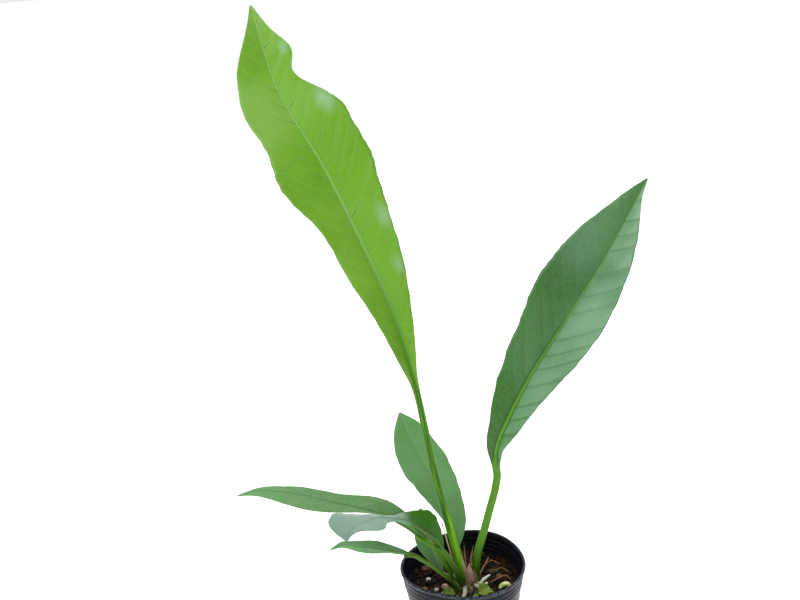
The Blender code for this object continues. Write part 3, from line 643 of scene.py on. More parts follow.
def vein_turns(distance, reach, right, veins):
    """How many side veins lie between the foot and each point, in millimetres on the blade."""
    side = right.astype(int)
    near, far, knee = np.moveaxis(np.array(veins["lag"])[side], -1, 0)
    start = distance - far * reach + (far - near) * knee * (1 - np.exp(-reach / knee))
    beat = start / veins["gap"]
    beat = beat + 0.17 * np.sin(1.9 * beat + 2.0 * side) + 0.30 * np.sin(0.61 * beat + 4.0 * side)
    return beat + 0.45 * side


def make_blade(name, leaf, rows=170, half=22):
    """A fine blade: quilted between its side veins, ridged along the midrib and wavy at the margin."""
    centre = walk(on_plant(leaf["rib"]), rows)
    _, across, front = axes_along(centre, leaf["facing"])
    shares = np.linspace(0, 1, rows)
    outline = np.asarray(leaf["outline"], float)
    halves = smooth_between(outline[:, 0], outline[:, 1:], shares)
    rises = np.radians(evenly(leaf["fold"], rows))
    length = np.linalg.norm(np.diff(centre, axis=0), axis=1).sum() / MM
    step = np.linspace(-1, 1, 2 * half + 1)
    u = np.sign(step) * np.abs(step) ** 1.5
    right = np.broadcast_to(u > 0, (rows, len(u)))
    span = np.where(right, halves[:, 1:], halves[:, :1])
    share = np.broadcast_to(np.abs(u), span.shape)
    veins = leaf["veins"]
    crimp = [[noise.fractal(Vector((along / 14, side * 9.0, length)), 0.6, 2.0, 3) for side in (0, 1)]
             for along in shares * length]
    span = span * (1 + veins["crimp"] * np.where(right, np.array(crimp)[:, 1:], np.array(crimp)[:, :1]))
    reach = span * share
    distance = np.broadcast_to((shares * length)[:, None], span.shape)
    turn = vein_turns(distance, reach, right, veins)
    pillow = 0.5 - 0.5 * np.cos(2 * math.pi * (turn - 0.5))
    quilt = np.where(right, veins["quilt"][1], veins["quilt"][0])
    fullness = np.clip(span / 15, 0, 1)
    swell = 0.75 + 0.45 * np.sin(distance / 27 + 3.0 * right) * np.cos(reach / 9)
    relief = quilt * fullness * swell * (pillow**0.6 - 0.5) * np.sin(math.pi * share) ** 0.6
    phase = np.where(right, 1.3, 0.0)
    sway = np.sin(distance / 23 + phase) + 0.6 * np.sin(distance / 9.7 + 2.1 * phase)
    sway = veins["wave"] * fullness * share**2.5 * sway
    rib_width = (1.3 - 0.9 * shares)[:, None] * np.clip(halves.max(axis=1, keepdims=True) / 6, 0.3, 1)
    ridge = np.exp(-((reach / rib_width) ** 2))
    bow = 1 + 0.30 * (1 - share)
    rise = reach * np.sin(rises) * bow + relief + sway + 0.30 * rib_width * ridge
    thickness = BLADE_THICKNESS + 1.3 * rib_width * ridge
    flat = reach * np.cos(rises) * np.sign(u)[None, :]
    upper, lower = sheet(centre, across, front, flat, rise, thickness)
    signed = reach * np.sign(u)[None, :]
    layers = {
        "Surface": np.stack((signed, distance), axis=2).reshape(-1, 2) * MM * 10,
        "Veins": np.stack((turn, share), axis=2).reshape(-1, 2),
    }
    look = {**PLAIN_LOOK, **leaf["look"], "length": length * MM * 10}
    faces = [leaf_surface(name + "_upper", look), leaf_surface(name + "_under", look, under=True)]
    piece = shell(name + "_tissue", upper, lower, layers, faces)
    return stand_for(piece, [name + "_blade"])


# Each stalk's colour at its top and foot, and that of its streaks
STALK_COLOURS = {
    "tall_leaf": ((0.022, 0.11, 0.001), (0.2, 0.52, 0.003), (0.13, 0.4, 0.004)),
    "right_leaf": ((0.08, 0.25, 0.008), (0.02, 0.08, 0.001), (0.08, 0.23, 0.006)),
    "back_leaf": ((0.12, 0.3, 0.07), (0.05, 0.13, 0.02), (0.16, 0.34, 0.08)),
    "long_left_leaf": ((0.085, 0.26, 0.01), (0.08, 0.22, 0.008), (0.14, 0.32, 0.02)),
    "arched_leaf": ((0.045, 0.14, 0.002), (0.022, 0.085, 0.001), (0.065, 0.18, 0.004)),
    "short_left_leaf": ((0.065, 0.15, 0.01), (0.05, 0.13, 0.006), (0.1, 0.21, 0.015)),
    "young_leaf": ((0.18, 0.34, 0.09), (0.12, 0.23, 0.05), (0.22, 0.38, 0.12)),
}


def make_stalk(name, leaf):
    """A stalk from the crown that carries on a short way under the midrib, and thins out there."""
    rib = walk(on_plant(leaf["rib"]), 60)
    front = unit(np.asarray(leaf["facing"][0], float))
    start = on_plant(leaf["petiole"])
    start[0, 2] = CROWN[2] - 0.0008
    radius = leaf["radii"][-1] * MM
    under = [rib[index] - front * radius * drop for index, drop in ((0, 0.15), (2, 0.6), (4, 0.95))]
    path = walk(np.vstack((start, under)), 90)
    steps = np.linspace(0, 1, 90)
    radii = evenly(leaf["radii"], 90)[:, 0] * MM
    knee = np.exp(-(((steps - 0.93) / 0.05) ** 2))
    thin = 1 - 0.75 * np.clip((steps - 0.93) / 0.07, 0, 1) ** 1.5
    foot = 1 + 0.22 * np.exp(-((steps / 0.06) ** 2))
    radii = radii * foot * (1 + 0.05 * knee) * thin

    def ridged(angle):
        return 1 + 0.045 * math.cos(5 * angle) - 0.10 * math.exp(-(((angle - math.pi / 2) / 0.5) ** 2))

    surface = stalk_surface(name + "_stalk", *STALK_COLOURS[name])
    piece = tube(name + "_stalk", path, radii, [surface], 28, [leaf["facing"][0]] * 2, ridged, 0.92)
    return stand_for(piece, [name + "_petiole"])


for leaf_name, leaf_design in LEAVES.items():
    make_blade(leaf_name, leaf_design)
    make_stalk(leaf_name, leaf_design)


# ---- Pot and mix


def wall_radius(angle, height):
    share = height / POT_HEIGHT
    radius = BASE_RADIUS + (RIM_RADIUS - BASE_RADIUS) * share
    for count, size, phase in MOUTH_WAVES:
        radius = radius + size * share * np.cos(count * angle - math.radians(phase))
    return radius


def pot_surface():
    """Thin satin-black plastic: draw lines down the wall, dust, scuffs and a painted bluish highlight along
    the rim.
    """
    nodes = Nodes("black_soft_plastic")
    _, along = nodes.coordinates("Surface")
    lines = nodes.grain(160.0, 2.0, 1.0, 3.0)
    scuffs = nodes.span(nodes.noise(140.0, 5.0), 0.52, 0.75)
    dust = nodes.span(nodes.noise(35.0, 4.0), 0.45, 0.75)
    colour = nodes.tint((0.0042, 0.0052, 0.0085), (0.020, 0.025, 0.038), scuffs, 0.30)
    colour = nodes.tint(colour, (0.06, 0.05, 0.04), dust, 0.05)
    # Painted highlight: a speckled bluish band round the rim's bead stands in for the studio light reflected
    # there
    below = nodes.span(along, RIM_AT - 0.03, RIM_AT)
    above = nodes.span(along, RIM_AT, RIM_AT + 0.05, 1.0, 0.0)
    rim_highlight = nodes.times(nodes.times(below, above), nodes.span(nodes.noise(420.0, 4.0), 0.40, 0.62))
    colour = nodes.tint(colour, (0.12, 0.14, 0.20), rim_highlight, 0.8)
    nodes.bump(nodes.plus(nodes.times(lines, 0.6), nodes.times(scuffs, 0.3)), 0.0003, 0.5)
    return nodes.put(colour, nodes.span(nodes.noise(90.0, 4.0), 0.3, 0.7, 0.26, 0.40), 0.17)


def make_pot():
    """The thin pot: chamfered foot, tapered wall, ribs and a rolled bead, with drain holes in its floor."""

    def ribbed(height):
        depth = (POT_HEIGHT - height) / MM
        return 0.0005 * sum(math.exp(-(((depth - drop) / 0.6) ** 2)) for drop in RIBS)

    profile = [(0, -0.0015), (0.0002, -0.0006), (0.0008, -0.0001), (0.0016, 0)]
    plain, ribbed_part = np.linspace(0.006, 0.070, 16), np.linspace(0.0725, POT_HEIGHT - 0.0032, 36)
    heights = np.concatenate((plain, ribbed_part))
    profile += [(height, ribbed(height)) for height in heights]
    profile += [(POT_HEIGHT - drop * MM, proud * MM) for drop, proud in BEAD]
    profile += [(height, ribbed(height) - POT_WALL) for height in heights[::-1]]
    profile += [(POT_FLOOR + 0.0008, -POT_WALL), (POT_FLOOR, -POT_WALL - 0.001)]
    sides = 168
    angles = turns(sides)
    points = []
    pairs = []
    passed = 0.0
    for index, (height, proud) in enumerate(profile):
        lift = min(1.0, height / POT_HEIGHT) ** 6
        wobble = 0.0005 * lift * (np.sin(3 * angles + 1) + 0.6 * np.sin(5 * angles + 2.5))
        radius = wall_radius(angles, height) + proud + wobble
        level = height + 0.0003 * lift * np.sin(2 * angles + 0.7)
        points += list(zip(radius * np.cos(angles), radius * np.sin(angles), level))
        if index:
            passed += math.dist(profile[index - 1], (height, proud))
        pairs += [(angle / (2 * math.pi), passed * 10) for angle in angles]
    rings = len(profile)
    faces = [*skin(rings, sides), cap(0, sides), cap((rings - 1) * sides, sides)[::-1]]
    pot = add_mesh("pot_shell", points, faces, [pot_surface()], {"Surface": pairs})
    pot.data.set_sharp_from_angle(angle=math.radians(50))
    for angle in turns(DRAIN_HOLES):
        place = (DRAIN_RING_RADIUS * math.cos(angle), DRAIN_RING_RADIUS * math.sin(angle), POT_FLOOR / 2)
        bpy.ops.mesh.primitive_cylinder_add(
            vertices=40, radius=DRAIN_HOLE_RADIUS, depth=POT_FLOOR * 3, location=place
        )
        cutter = bpy.context.active_object
        cut = pot.modifiers.new("hole", "BOOLEAN")
        cut.object = cutter
        with bpy.context.temp_override(object=pot):
            bpy.ops.object.modifier_apply(modifier=cut.name)
        bpy.data.objects.remove(cutter)
    return stand_for(pot, ["nursery_pot"])


def soil_surface():
    """Dark peaty mix with orange-brown fibre and pale grains through it."""
    nodes = Nodes("potting_mix")
    clumps = nodes.noise(260.0, 5.0)
    grains = nodes.noise(1100.0)
    warm = nodes.span(nodes.noise(75.0, 4.0), 0.48, 0.68)
    colour = nodes.mix(nodes.span(clumps, 0.35, 0.65), (0.0025, 0.0016, 0.0010), (0.012, 0.006, 0.003))
    colour = nodes.tint(colour, (0.075, 0.032, 0.011), warm, 0.6)
    colour = nodes.mix(nodes.span(grains, 0.68, 0.74), colour, (0.16, 0.10, 0.055))
    nodes.bump(nodes.plus(clumps, nodes.times(grains, 0.5)), 0.0012, 0.9)
    return nodes.put(colour, nodes.span(grains, 0.3, 0.7, 0.78, 0.96), 0.15)


def soil_level(x, y, share):
    """Height of the mix's surface: the CAD model's ripple with crumbs on top, level at the wall."""
    ripple = noise.noise(Vector((x, y, 0.0)) * 120) + 0.5 * noise.noise(Vector((x, y, 0.01)) * 310)
    crumbs = noise.fractal(Vector((x, y, 0.3)) * 700, 0.7, 2.0, 3)
    return SOIL_TOP + (0.0016 * ripple + 0.0006 * crumbs) * (1 - share**6)


def soil_here(x, y):
    """Height of the mix at a place, for what rests on it."""
    return soil_level(x, y, min(1.0, math.hypot(x, y) / SOIL_RADIUS))


def make_soil():
    """Mix filling the pot, its surface broken into lumps."""
    rings = 64
    sides = 168
    angles = turns(sides)
    inset = POT_WALL + MIX_GAP
    points = []
    walls = (POT_FLOOR + MIX_GAP, 0.02, 0.04, 0.06)
    for height in walls:
        radius = wall_radius(angles, height) - inset
        points += list(zip(radius * np.cos(angles), radius * np.sin(angles), np.full(sides, height)))
    edge = wall_radius(angles, SOIL_TOP) - inset
    for ring in range(rings):
        share = 1 - ring / rings
        for x, y in zip(share * edge * np.cos(angles), share * edge * np.sin(angles)):
            points.append((x, y, soil_level(x, y, share)))
    points.append((0, 0, soil_level(0, 0, 0)))
    surface = soil_surface()
    body = add_mesh("mix_body", points, domed(len(walls) + rings, sides), [surface])
    stand_for(body, ["potting_mix"])
    return surface


class Lumps:
    """Gathers many small lumps or fibres into one mesh."""

    def __init__(self):
        self.points = []
        self.faces = []
        self.pairs = []

    def lump(self, place, size, rough=0.28, levels=1):
        shape = bmesh.new()
        bmesh.ops.create_icosphere(shape, subdivisions=levels, radius=1)
        spin, tip = random.uniform(0, 6.28), random.uniform(0, 1.2)
        turn = Matrix.Rotation(spin, 3, "Z") @ Matrix.Rotation(tip, 3, "X")
        sway = Vector((random.uniform(0, 50), random.uniform(0, 50), 0))
        first = len(self.points)
        for vertex in shape.verts:
            spot = vertex.co * (1 + rough * noise.noise(vertex.co * 1.9 + sway))
            spot = turn @ Vector([spot[axis] * size[axis] for axis in range(3)])
            self.points.append(Vector(place) + spot)
            self.pairs.append((vertex.co.x, vertex.co.y))
        self.faces += [tuple(first + vertex.index for vertex in face.verts) for face in shape.faces]
        shape.free()

    def fibre(self, path, radius, sides=5):
        path = np.asarray(path)
        _, across, front = axes_along(path, ((0.1, 0.2, 1), (0.1, 0.2, 1)))
        first = len(self.points)
        rows = len(path)
        for row in range(rows):
            taper = 1 - 0.6 * abs(2 * row / (rows - 1) - 1) ** 3
            for side in range(sides):
                angle = 2 * math.pi * side / sides
                out = across[row] * math.cos(angle) + front[row] * math.sin(angle)
                self.points.append(path[row] + out * radius * taper)
                self.pairs.append((side / sides, row / rows))
        self.faces += skin(rows, sides, first)
        self.faces += [cap(first, sides), cap(first + (rows - 1) * sides, sides)[::-1]]

    def finish(self, name, surface):
        piece = add_mesh(name, self.points, self.faces, [surface], {"Surface": self.pairs})
        return stand_for(piece, [])


def free_spot(clear=0.0015):
    """A random place on the mix, off the crown."""
    while True:
        angle = random.uniform(0, 2 * math.pi)
        reach = SOIL_RADIUS * 0.96 * math.sqrt(random.random())
        x, y = reach * math.cos(angle), reach * math.sin(angle)
        if math.hypot(x - CROWN[0], y - CROWN[1]) > CROWN_RADIUS + clear:
            return x, y


def scatter_crumbs(surface):
    """Peat crumbs and bark bits all over the mix, then coir fibres, thickest at the right and the back."""
    crumbs = Lumps()
    for _ in range(CRUMBS):
        x, y = free_spot()
        size = random.choice((0.5, 0.7, 0.9, 1.3, 1.8)) * MM * random.uniform(0.8, 1.2)
        shape = (size * random.uniform(0.8, 1.6), size, size * random.uniform(0.5, 0.9))
        crumbs.lump((x, y, soil_here(x, y) + 0.25 * size), shape, 0.5)
    crumbs.finish("mix_crumbs", surface)
    fibres = Lumps()
    for _ in range(MIX_FIBRES):
        x, y = free_spot(0.003)
        if x + 0.6 * y < -0.01 and random.random() < 0.65:
            continue
        heading = random.uniform(0, 2 * math.pi)
        bend = random.uniform(-1.6, 1.6)
        length = random.uniform(4, 13) * MM
        path = []
        for step in np.linspace(-0.5, 0.5, 9):
            angle = heading + bend * step
            px, py = x + length * step * math.cos(angle), y + length * step * math.sin(angle)
            if math.hypot(px, py) > SOIL_RADIUS * 0.97:
                break
            hump = 0.0009 * math.cos(math.pi * step) * (1 + abs(bend))
            path.append((px, py, soil_here(px, py) + 0.0002 + hump))
        if len(path) == 9:
            fibres.fibre(path, random.uniform(0.10, 0.28) * MM)
    surface = dry_surface("coir", (0.20, 0.10, 0.040), (0.075, 0.035, 0.014))
    fibres.finish("mix_fibres", surface)


make_pot()
scatter_crumbs(make_soil())


# ---- Crown, roots and sheaths


def crown_surface():
    """Old crown tissue: clumped, flaky and mottled."""
    nodes = Nodes("crown_tissue")
    clumps = nodes.noise(300.0, 5.0)
    flakes = nodes.noise(1200.0)
    colour = nodes.mix(nodes.span(clumps, 0.38, 0.62), (0.13, 0.09, 0.04), (0.36, 0.34, 0.20))
    colour = nodes.mix(nodes.span(flakes, 0.62, 0.72), colour, (0.35, 0.24, 0.12))
    nodes.bump(nodes.plus(clumps, nodes.times(flakes, 0.5)), 0.0008, 0.9)
    return nodes.put(colour, nodes.span(flakes, 0.3, 0.7, 0.65, 0.9), 0.3)


def make_crown():
    """The stem stub, ringed by old scars and wrapped in the torn foot of dry sheaths."""
    sides = 72
    rows = 34
    low = crown_low[2]
    angles = turns(sides)
    points = []
    for row in range(rows):
        height = low + (CROWN[2] - low) * row / (rows - 1)
        above = max(0.0, (height - SOIL_TOP) / (CROWN[2] - SOIL_TOP))
        for angle in angles:
            scar = 0.00035 * abs(math.sin(height * 1900 + 1.5 * math.sin(2 * angle)))
            lump = noise.noise(Vector((math.cos(angle), math.sin(angle), height * 160)) * 2.1)
            radius = CROWN_RADIUS - 0.0002 - 0.0016 * above**3 + (0.0007 * lump - scar) * (above > 0)
            points.append((CROWN[0] + radius * math.cos(angle), CROWN[1] + radius * math.sin(angle), height))
    caps = 7
    for ring in range(1, caps):
        for angle in angles:
            radius = (CROWN_RADIUS - 0.0018) * (1 - ring / caps)
            x, y = radius * math.cos(angle), radius * math.sin(angle)
            bump = 0.0006 * noise.noise(Vector((x, y, 0.1)) * 500)
            points.append((CROWN[0] + x, CROWN[1] + y, CROWN[2] + bump))
    points.append(tuple(CROWN))
    body = add_mesh("crown_body", points, domed(rows + caps - 1, sides), [crown_surface()])
    stand_for(body, ["stem_crown"])


# Roots: (azimuth, mm beyond the crown's side, mm above the mix), radius in mm
ROOTS = {
    "front_root": ([(-100, 0, 4.5), (-103, 4, 3.8), (-106, 10, 2.8)], 2.2),
    "low_right_root": ([(-28, 0, 5), (-24, 3, 5.6), (-9, 6, 5.4), (8, 8.5, 4.2)], 1.6),
    "high_right_root": ([(2, 0, 4.6), (16, 6, 6), (31, 16, 4.4)], 1.6),
    "left_root": ([(165, 0, 4.8), (153, 4, 5.2), (136, 9, 4.6)], 1.4),
    "back_root": ([(115, 0, 5), (118, 6, 4.6), (112, 14, 3.8)], 1.5),
}


def root_surface():
    """Pale, faintly green root skin with fine hairs and specks of mix."""
    nodes = Nodes("root")
    specks = nodes.span(nodes.noise(800.0), 0.63, 0.72)
    patches = nodes.span(nodes.noise(160.0, 4.0), 0.35, 0.65)
    colour = nodes.mix(patches, (0.68, 0.71, 0.55), (0.50, 0.53, 0.32))
    colour = nodes.tint(colour, (0.20, 0.12, 0.05), specks, 0.7)
    nodes.bump(nodes.noise(500.0, 4.0), 0.0005, 0.8)
    return nodes.put(colour, nodes.span(specks, 0.0, 1.0, 0.55, 0.85), 0.4)


def make_root(name, stations, radius, surface):
    """A lumpy root that leaves the crown's side and tapers to a blunt tip."""
    points = []
    azimuth, reach, height = stations[0]
    shoulder = [(azimuth, -6, 7.0), (azimuth, -2, 7.2), (azimuth, 1.2, height + 0.8)]
    for azimuth, reach, height in [*shoulder, *stations[1:]]:
        away = CROWN_RADIUS + 0.0003 + reach * MM
        angle = math.radians(azimuth)
        level = SOIL_TOP + height * MM
        points.append((CROWN[0] + away * math.cos(angle), CROWN[1] + away * math.sin(angle), level))
    path = walk(points, 48)
    steps = np.linspace(0, 1, 48)
    lumps = [1 + 0.22 * noise.noise(Vector((step * 5, radius, sum(stations[0])))) for step in steps]
    radii = radius * MM * np.array(lumps) * np.sqrt(np.clip(1 - steps**8, 0.02, 1)) * (1 - 0.25 * steps)
    piece = tube(name + "_body", path, radii, [surface], 20)
    return stand_for(piece, [name])


# Bracts and dry sheaths: rib, facing, half width in mm, light and dark colour, curl in degrees
SHEATHS = {
    "green_cataphyll": (
        [(0.8, 0, 0.3), (-4.6, -2.6, 25), (-9, -2, 55), (-13, 0.5, 76)], (0.2, -1, 0), 1.9,
        (0.24, 0.58, 0.005), (0.15, 0.43, 0.004),
    ),
    "tan_cataphyll": (
        [(-4.6, 2, 0), (-9.5, 1.6, 20), (-13.6, 2.5, 41), (-16.9, 3.6, 58)], (-1, -0.3, -0.2), 1.8,
        (0.8, 0.6, 0.44), (0.52, 0.34, 0.2),
    ),
    "dry_sheath": (
        [(4.2, -2.2, 0), (3.6, -2.8, 9), (2.6, -3, 19)], (0, -1, 0), 3.4, (0.74, 0.55, 0.42),
        (0.4, 0.24, 0.15),
    ),
    "brown_spike_left": (
        [(2.9, 1, 0), (0.9, 0.7, 18), (0.1, 0.8, 40)], (0, -1, 0), 0.7, (0.42, 0.24, 0.11),
        (0.2, 0.1, 0.04),
    ),
    "brown_spike_right": (
        [(4.9, -0.9, 0), (4.6, -1, 16), (6, -1, 28), (8.1, -0.5, 36)], (0, -1, 0), 0.9, (0.42, 0.23, 0.1),
        (0.2, 0.1, 0.04),
    ),
}


# Torn papery feet of old sheaths in front of the stalks, in the same order
TORN_SHEATHS = {
    "torn_sheath_1": (
        [(5.4, -3.2, -1), (4.9, -4, 7), (3.8, -4.2, 15), (3.0, -3.8, 21)], (0.15, -1, 0.1), 2.4,
        (0.8, 0.62, 0.48), (0.46, 0.29, 0.19),
    ),
    "torn_sheath_2": (
        [(8.2, -1.2, -1), (8.3, -2, 5), (7.6, -1.6, 10), (7.4, -1, 14)], (0.5, -1, 0), 1.7,
        (0.6, 0.42, 0.28), (0.28, 0.14, 0.07),
    ),
    "torn_sheath_3": (
        [(1.5, -1.2, -1), (0.6, -1.6, 9), (-1.2, -2, 19), (-3.2, -1.8, 29)], (-0.2, -1, 0), 1.5,
        (0.82, 0.66, 0.5), (0.5, 0.34, 0.22),
    ),
    "torn_sheath_4": (
        [(-3, -6.8, -1), (-7, -6, 2.4), (-10.5, -4.8, 5.4), (-13.8, -3.8, 8.6)], (-0.2, -1, 0.5), 1.2,
        (0.66, 0.66, 0.48), (0.42, 0.38, 0.22),
    ),
}


def make_sheath(name, rib, facing, half_width, light, dark, rows=70, half=8):
    """A thin pointed bract with wrinkled, slightly ragged sides."""
    centre = walk(on_plant(rib), rows)
    _, across, front = axes_along(centre, [facing, facing])
    shares = np.linspace(0, 1, rows)[:, None]
    u = np.linspace(-1, 1, 2 * half + 1)[None, :]
    width = half_width * (1 - 0.25 * shares - 0.70 * np.clip(shares - 0.65, 0, 1) / 0.35)
    seed = sum(map(ord, name)) * 0.13
    ragged = np.array([
        [noise.noise(Vector((side, share * 16, seed))) for side in (-1.0, 1.0)] for share in shares[:, 0]
    ])
    frayed = 1 + 0.16 * np.where(u < 0, ragged[:, :1], ragged[:, 1:])
    reach = width * u * frayed
    wrinkle = 0.12 * half_width * np.sin(7 * u + 4 * shares + seed) * np.sin(26 * shares + 3 * u)
    rise = 0.28 * half_width * (1 - u**2) + wrinkle
    upper, lower = sheet(centre, across, front, reach, rise, SHEATH_THICKNESS)
    along = np.broadcast_to(shares * len(rib) / 2, reach.shape)
    pairs = np.stack((np.broadcast_to(u / 2, reach.shape), along), axis=2).reshape(-1, 2)
    surface = dry_surface(name + "_tissue", light, dark)
    piece = shell(name + "_body", upper, lower, {"Surface": pairs}, [surface, surface])
    if name in TORN_SHEATHS:
        return stand_for(piece, [])
    return stand_for(piece, [name])


def wrap_crown():
    """Torn fibres that stand round the crown between the stalks."""
    fibres = Lumps()
    for _ in range(CROWN_FIBRES):
        angle = random.uniform(0, 2 * math.pi)
        reach = CROWN_RADIUS * random.uniform(0.55, 0.95)
        length = random.uniform(3, 11) * MM
        lean = random.uniform(-0.3, 0.9)
        sweep = random.uniform(-0.7, 0.7)
        path = []
        for step in np.linspace(0, 1, 8):
            out = reach + length * lean * step * step * 0.5
            turned = angle + sweep * step * 0.5
            x, y = CROWN[0] + out * math.cos(turned), CROWN[1] + out * math.sin(turned)
            path.append((x, y, CROWN[2] - 0.002 + length * step * (1 - 0.25 * step)))
        fibres.fibre(path, random.uniform(0.12, 0.35) * MM)
    surface = dry_surface("crown_fibre", (0.26, 0.15, 0.06), (0.09, 0.045, 0.018))
    fibres.finish("crown_fibres", surface)


# ---- What lies on the mix


# Dry strands: (share of the mix's radius in X and Y, mm above it), radius in mm
STRANDS = {
    "dry_strand_back": ([(0.27, -0.2, 8.8), (0.36, 0.02, 9), (0.45, 0.25, 8), (0.52, 0.5, 5.5)], 0.65),
    "dry_strand_right": (
        [(0.46, -0.3, 5.2), (0.55, -0.25, 6), (0.66, -0.19, 6.4), (0.78, -0.15, 5.8), (0.84, -0.22, 3.8)],
        0.6,
    ),
    "coir_fibre_1": ([(0.42, 0.3, 4.0), (0.56, 0.42, 4.4), (0.7, 0.3, 3.9)], 0.45),
    "coir_fibre_2": ([(0.6, 0.1, 3.6), (0.72, 0.16, 4.4), (0.82, 0.05, 3.6)], 0.45),
    "coir_fibre_3": ([(0.18, 0.62, 4.0), (0.32, 0.72, 4.5), (0.46, 0.7, 3.9)], 0.45),
}

# Weed seedlings: foot as shares of the mix's radius, rib from the foot in mm, facing, half width in mm
WEEDS = {
    "weed_leaf_left": (
        (-0.13, -0.56), [(0, 0, 3.2), (-3, 1, 5), (-8, 2, 5.6), (-13, 2.5, 4.4)], (0, -0.6, 0.8), 5.0,
    ),
    "weed_leaf_right": (
        (0.16, -0.6), [(0, 0, 3.2), (3.5, 1, 5.2), (8, 3, 7), (12.5, 5, 8)], (0.2, -0.7, 0.7), 5.2,
    ),
    "weed_leaf_front": (
        (0.08, -0.66), [(0, 0, 3.0), (1.5, -1, 4.4), (4, -1.6, 5), (6.5, -2, 4.6)], (0, -0.5, 0.8), 2.8,
    ),
    "weed_leaf_small": (
        (0.5, -0.54), [(0, 0, 3.0), (-1.2, 0.6, 4), (-3.5, 1, 4.5), (-5.5, 1.2, 4.2)], (0, -0.5, 0.8), 2.2,
    ),
}

# The seed's middle line: shares of the mix's radius in X and Y, mm above it
SEED = [(0.61, -0.46, 3.8), (0.66, -0.40, 4.7), (0.74, -0.375, 5.0), (0.82, -0.41, 4.4)]

# Loose grains: place as shares of the mix's radius, size in mm along X, Y and Z
GRAINS = {
    "beige_stone": ((-0.345, -0.2), (3.2, 2.8, 2.4)),
    "perlite_1": ((-0.63, 0.08), (2.2, 2.0, 1.7)),
    "perlite_2": ((-0.5, -0.29), (2.0, 1.9, 1.6)),
    "perlite_3": ((-0.39, -0.4), (1.7, 1.5, 1.3)),
    "perlite_4": ((0.18, 0.42), (1.6, 1.5, 1.3)),
    "bark_chip_1": ((0.56, 0.2), (5.0, 2.6, 1.4)),
    "bark_chip_2": ((0.3, 0.52), (3.2, 4.6, 1.3)),
    "bark_chip_3": ((0.66, -0.02), (3.0, 3.8, 1.3)),
    "bark_chip_4": ((-0.2, 0.72), (4.6, 2.8, 1.4)),
    "bark_chip_5": ((-0.66, 0.42), (3.6, 3.2, 1.4)),
    "bark_chip_6": ((-0.72, -0.22), (2.8, 4.0, 1.3)),
}


def on_soil(place):
    return np.array((place[0] * SOIL_RADIUS, place[1] * SOIL_RADIUS, SOIL_TOP + place[2] * MM))


def make_strand(name, places, radius, surface):
    path = walk([on_soil(place) for place in places], 60)
    path += [
        (0.0003 * noise.noise(Vector(point) * 300), 0, 0.0002 * noise.noise(Vector(point) * 420))
        for point in path
    ]
    radii = radius * MM * np.array([1 + 0.25 * noise.noise(Vector(point) * 600) for point in path])
    radii *= 1 - 0.6 * np.abs(np.linspace(-1, 1, 60)) ** 6
    return stand_for(tube(name + "_body", path, radii, [surface], 10), [name])


def weed_surface():
    """Fresh yellow-green seedling leaf with faint veins."""
    nodes = Nodes("weed")
    across, _ = nodes.coordinates("Surface")
    blotch = nodes.span(nodes.noise(220.0), 0.35, 0.65)
    rib = nodes.span(nodes.math("ABSOLUTE", across), 0.03, 0.10, 1.0, 0.0)
    colour = nodes.mix(blotch, (0.28, 0.38, 0.035), (0.18, 0.30, 0.02))
    colour = nodes.tint(colour, (0.40, 0.48, 0.12), rib, 0.5)
    nodes.bump(nodes.plus(nodes.noise(700.0), rib), 0.0003, 0.6)
    nodes.put(colour, nodes.span(blotch, 0.0, 1.0, 0.38, 0.5), 0.5)
    nodes.let_light_through(0.25, (0.5, 0.7, 0.05))
    return nodes.material


def make_weed(name, foot, rib, facing, half_width, surface, rows=60, half=12):
    """A round, slightly cupped seedling leaf on its thin stalk."""
    start = on_soil((foot[0], foot[1], 0))
    centre = walk([start + np.array(point) * MM for point in rib], rows)
    _, across, front = axes_along(centre, [facing, facing])
    outline = np.array([(0, 0.6), (0.25, 0.8), (0.42, half_width * 0.75), (0.65, half_width),
                        (0.88, half_width * 0.7), (1, 0.6)])
    shares = np.linspace(0, 1, rows)
    width = smooth_between(outline[:, 0], outline[:, 1:], shares)
    u = np.linspace(-1, 1, 2 * half + 1)[None, :]
    wave = 0.25 * np.sin(shares[:, None] * 23) * np.abs(u) ** 2 * (width > 1.5)
    rise = np.abs(u) * width * math.sin(math.radians(10)) + wave - 0.25 * np.exp(-((u * width / 0.5) ** 2))
    upper, lower = sheet(centre, across, front, u * width, rise, WEED_THICKNESS)
    pairs = np.stack(np.broadcast_arrays(u, shares[:, None]), axis=2).reshape(-1, 2)
    piece = shell(name + "_body", upper, lower, {"Surface": pairs}, [surface, surface])
    return stand_for(piece, [name])


def make_seed():
    """The fallen seed: a curved blunt bean, green with a pale belly and a brown scar."""
    nodes = Nodes("seed")
    patch = nodes.span(nodes.noise(190.0), 0.42, 0.60)
    scar = nodes.span(nodes.noise(330.0, 2.0), 0.60, 0.68)
    colour = nodes.mix(patch, (0.62, 0.66, 0.30), (0.34, 0.42, 0.04))
    colour = nodes.tint(colour, (0.16, 0.08, 0.02), scar, 0.7)
    nodes.bump(nodes.noise(600.0), 0.0003, 0.5)
    surface = nodes.put(colour, nodes.span(patch, 0.0, 1.0, 0.35, 0.5), 0.5)
    path = walk([on_soil(place) for place in SEED], 44)
    radii = SEED_RADIUS * MM * np.sin(np.linspace(0.06, 0.96, 44) * math.pi) ** 0.55
    stand_for(tube("seed_body", path, radii, [surface], 28, flat=0.9), ["fallen_seed"])


def grain_surface(name, light, dark, scale, roughness):
    nodes = Nodes(name)
    patches = nodes.span(nodes.noise(scale, 5.0), 0.38, 0.62)
    pits = nodes.noise(scale * 3)
    nodes.bump(nodes.plus(patches, pits), 0.0005, 0.8)
    rough = nodes.span(pits, 0.3, 0.7, roughness - 0.1, min(1.0, roughness + 0.1))
    return nodes.put(nodes.mix(patches, light, dark), rough, 0.3)


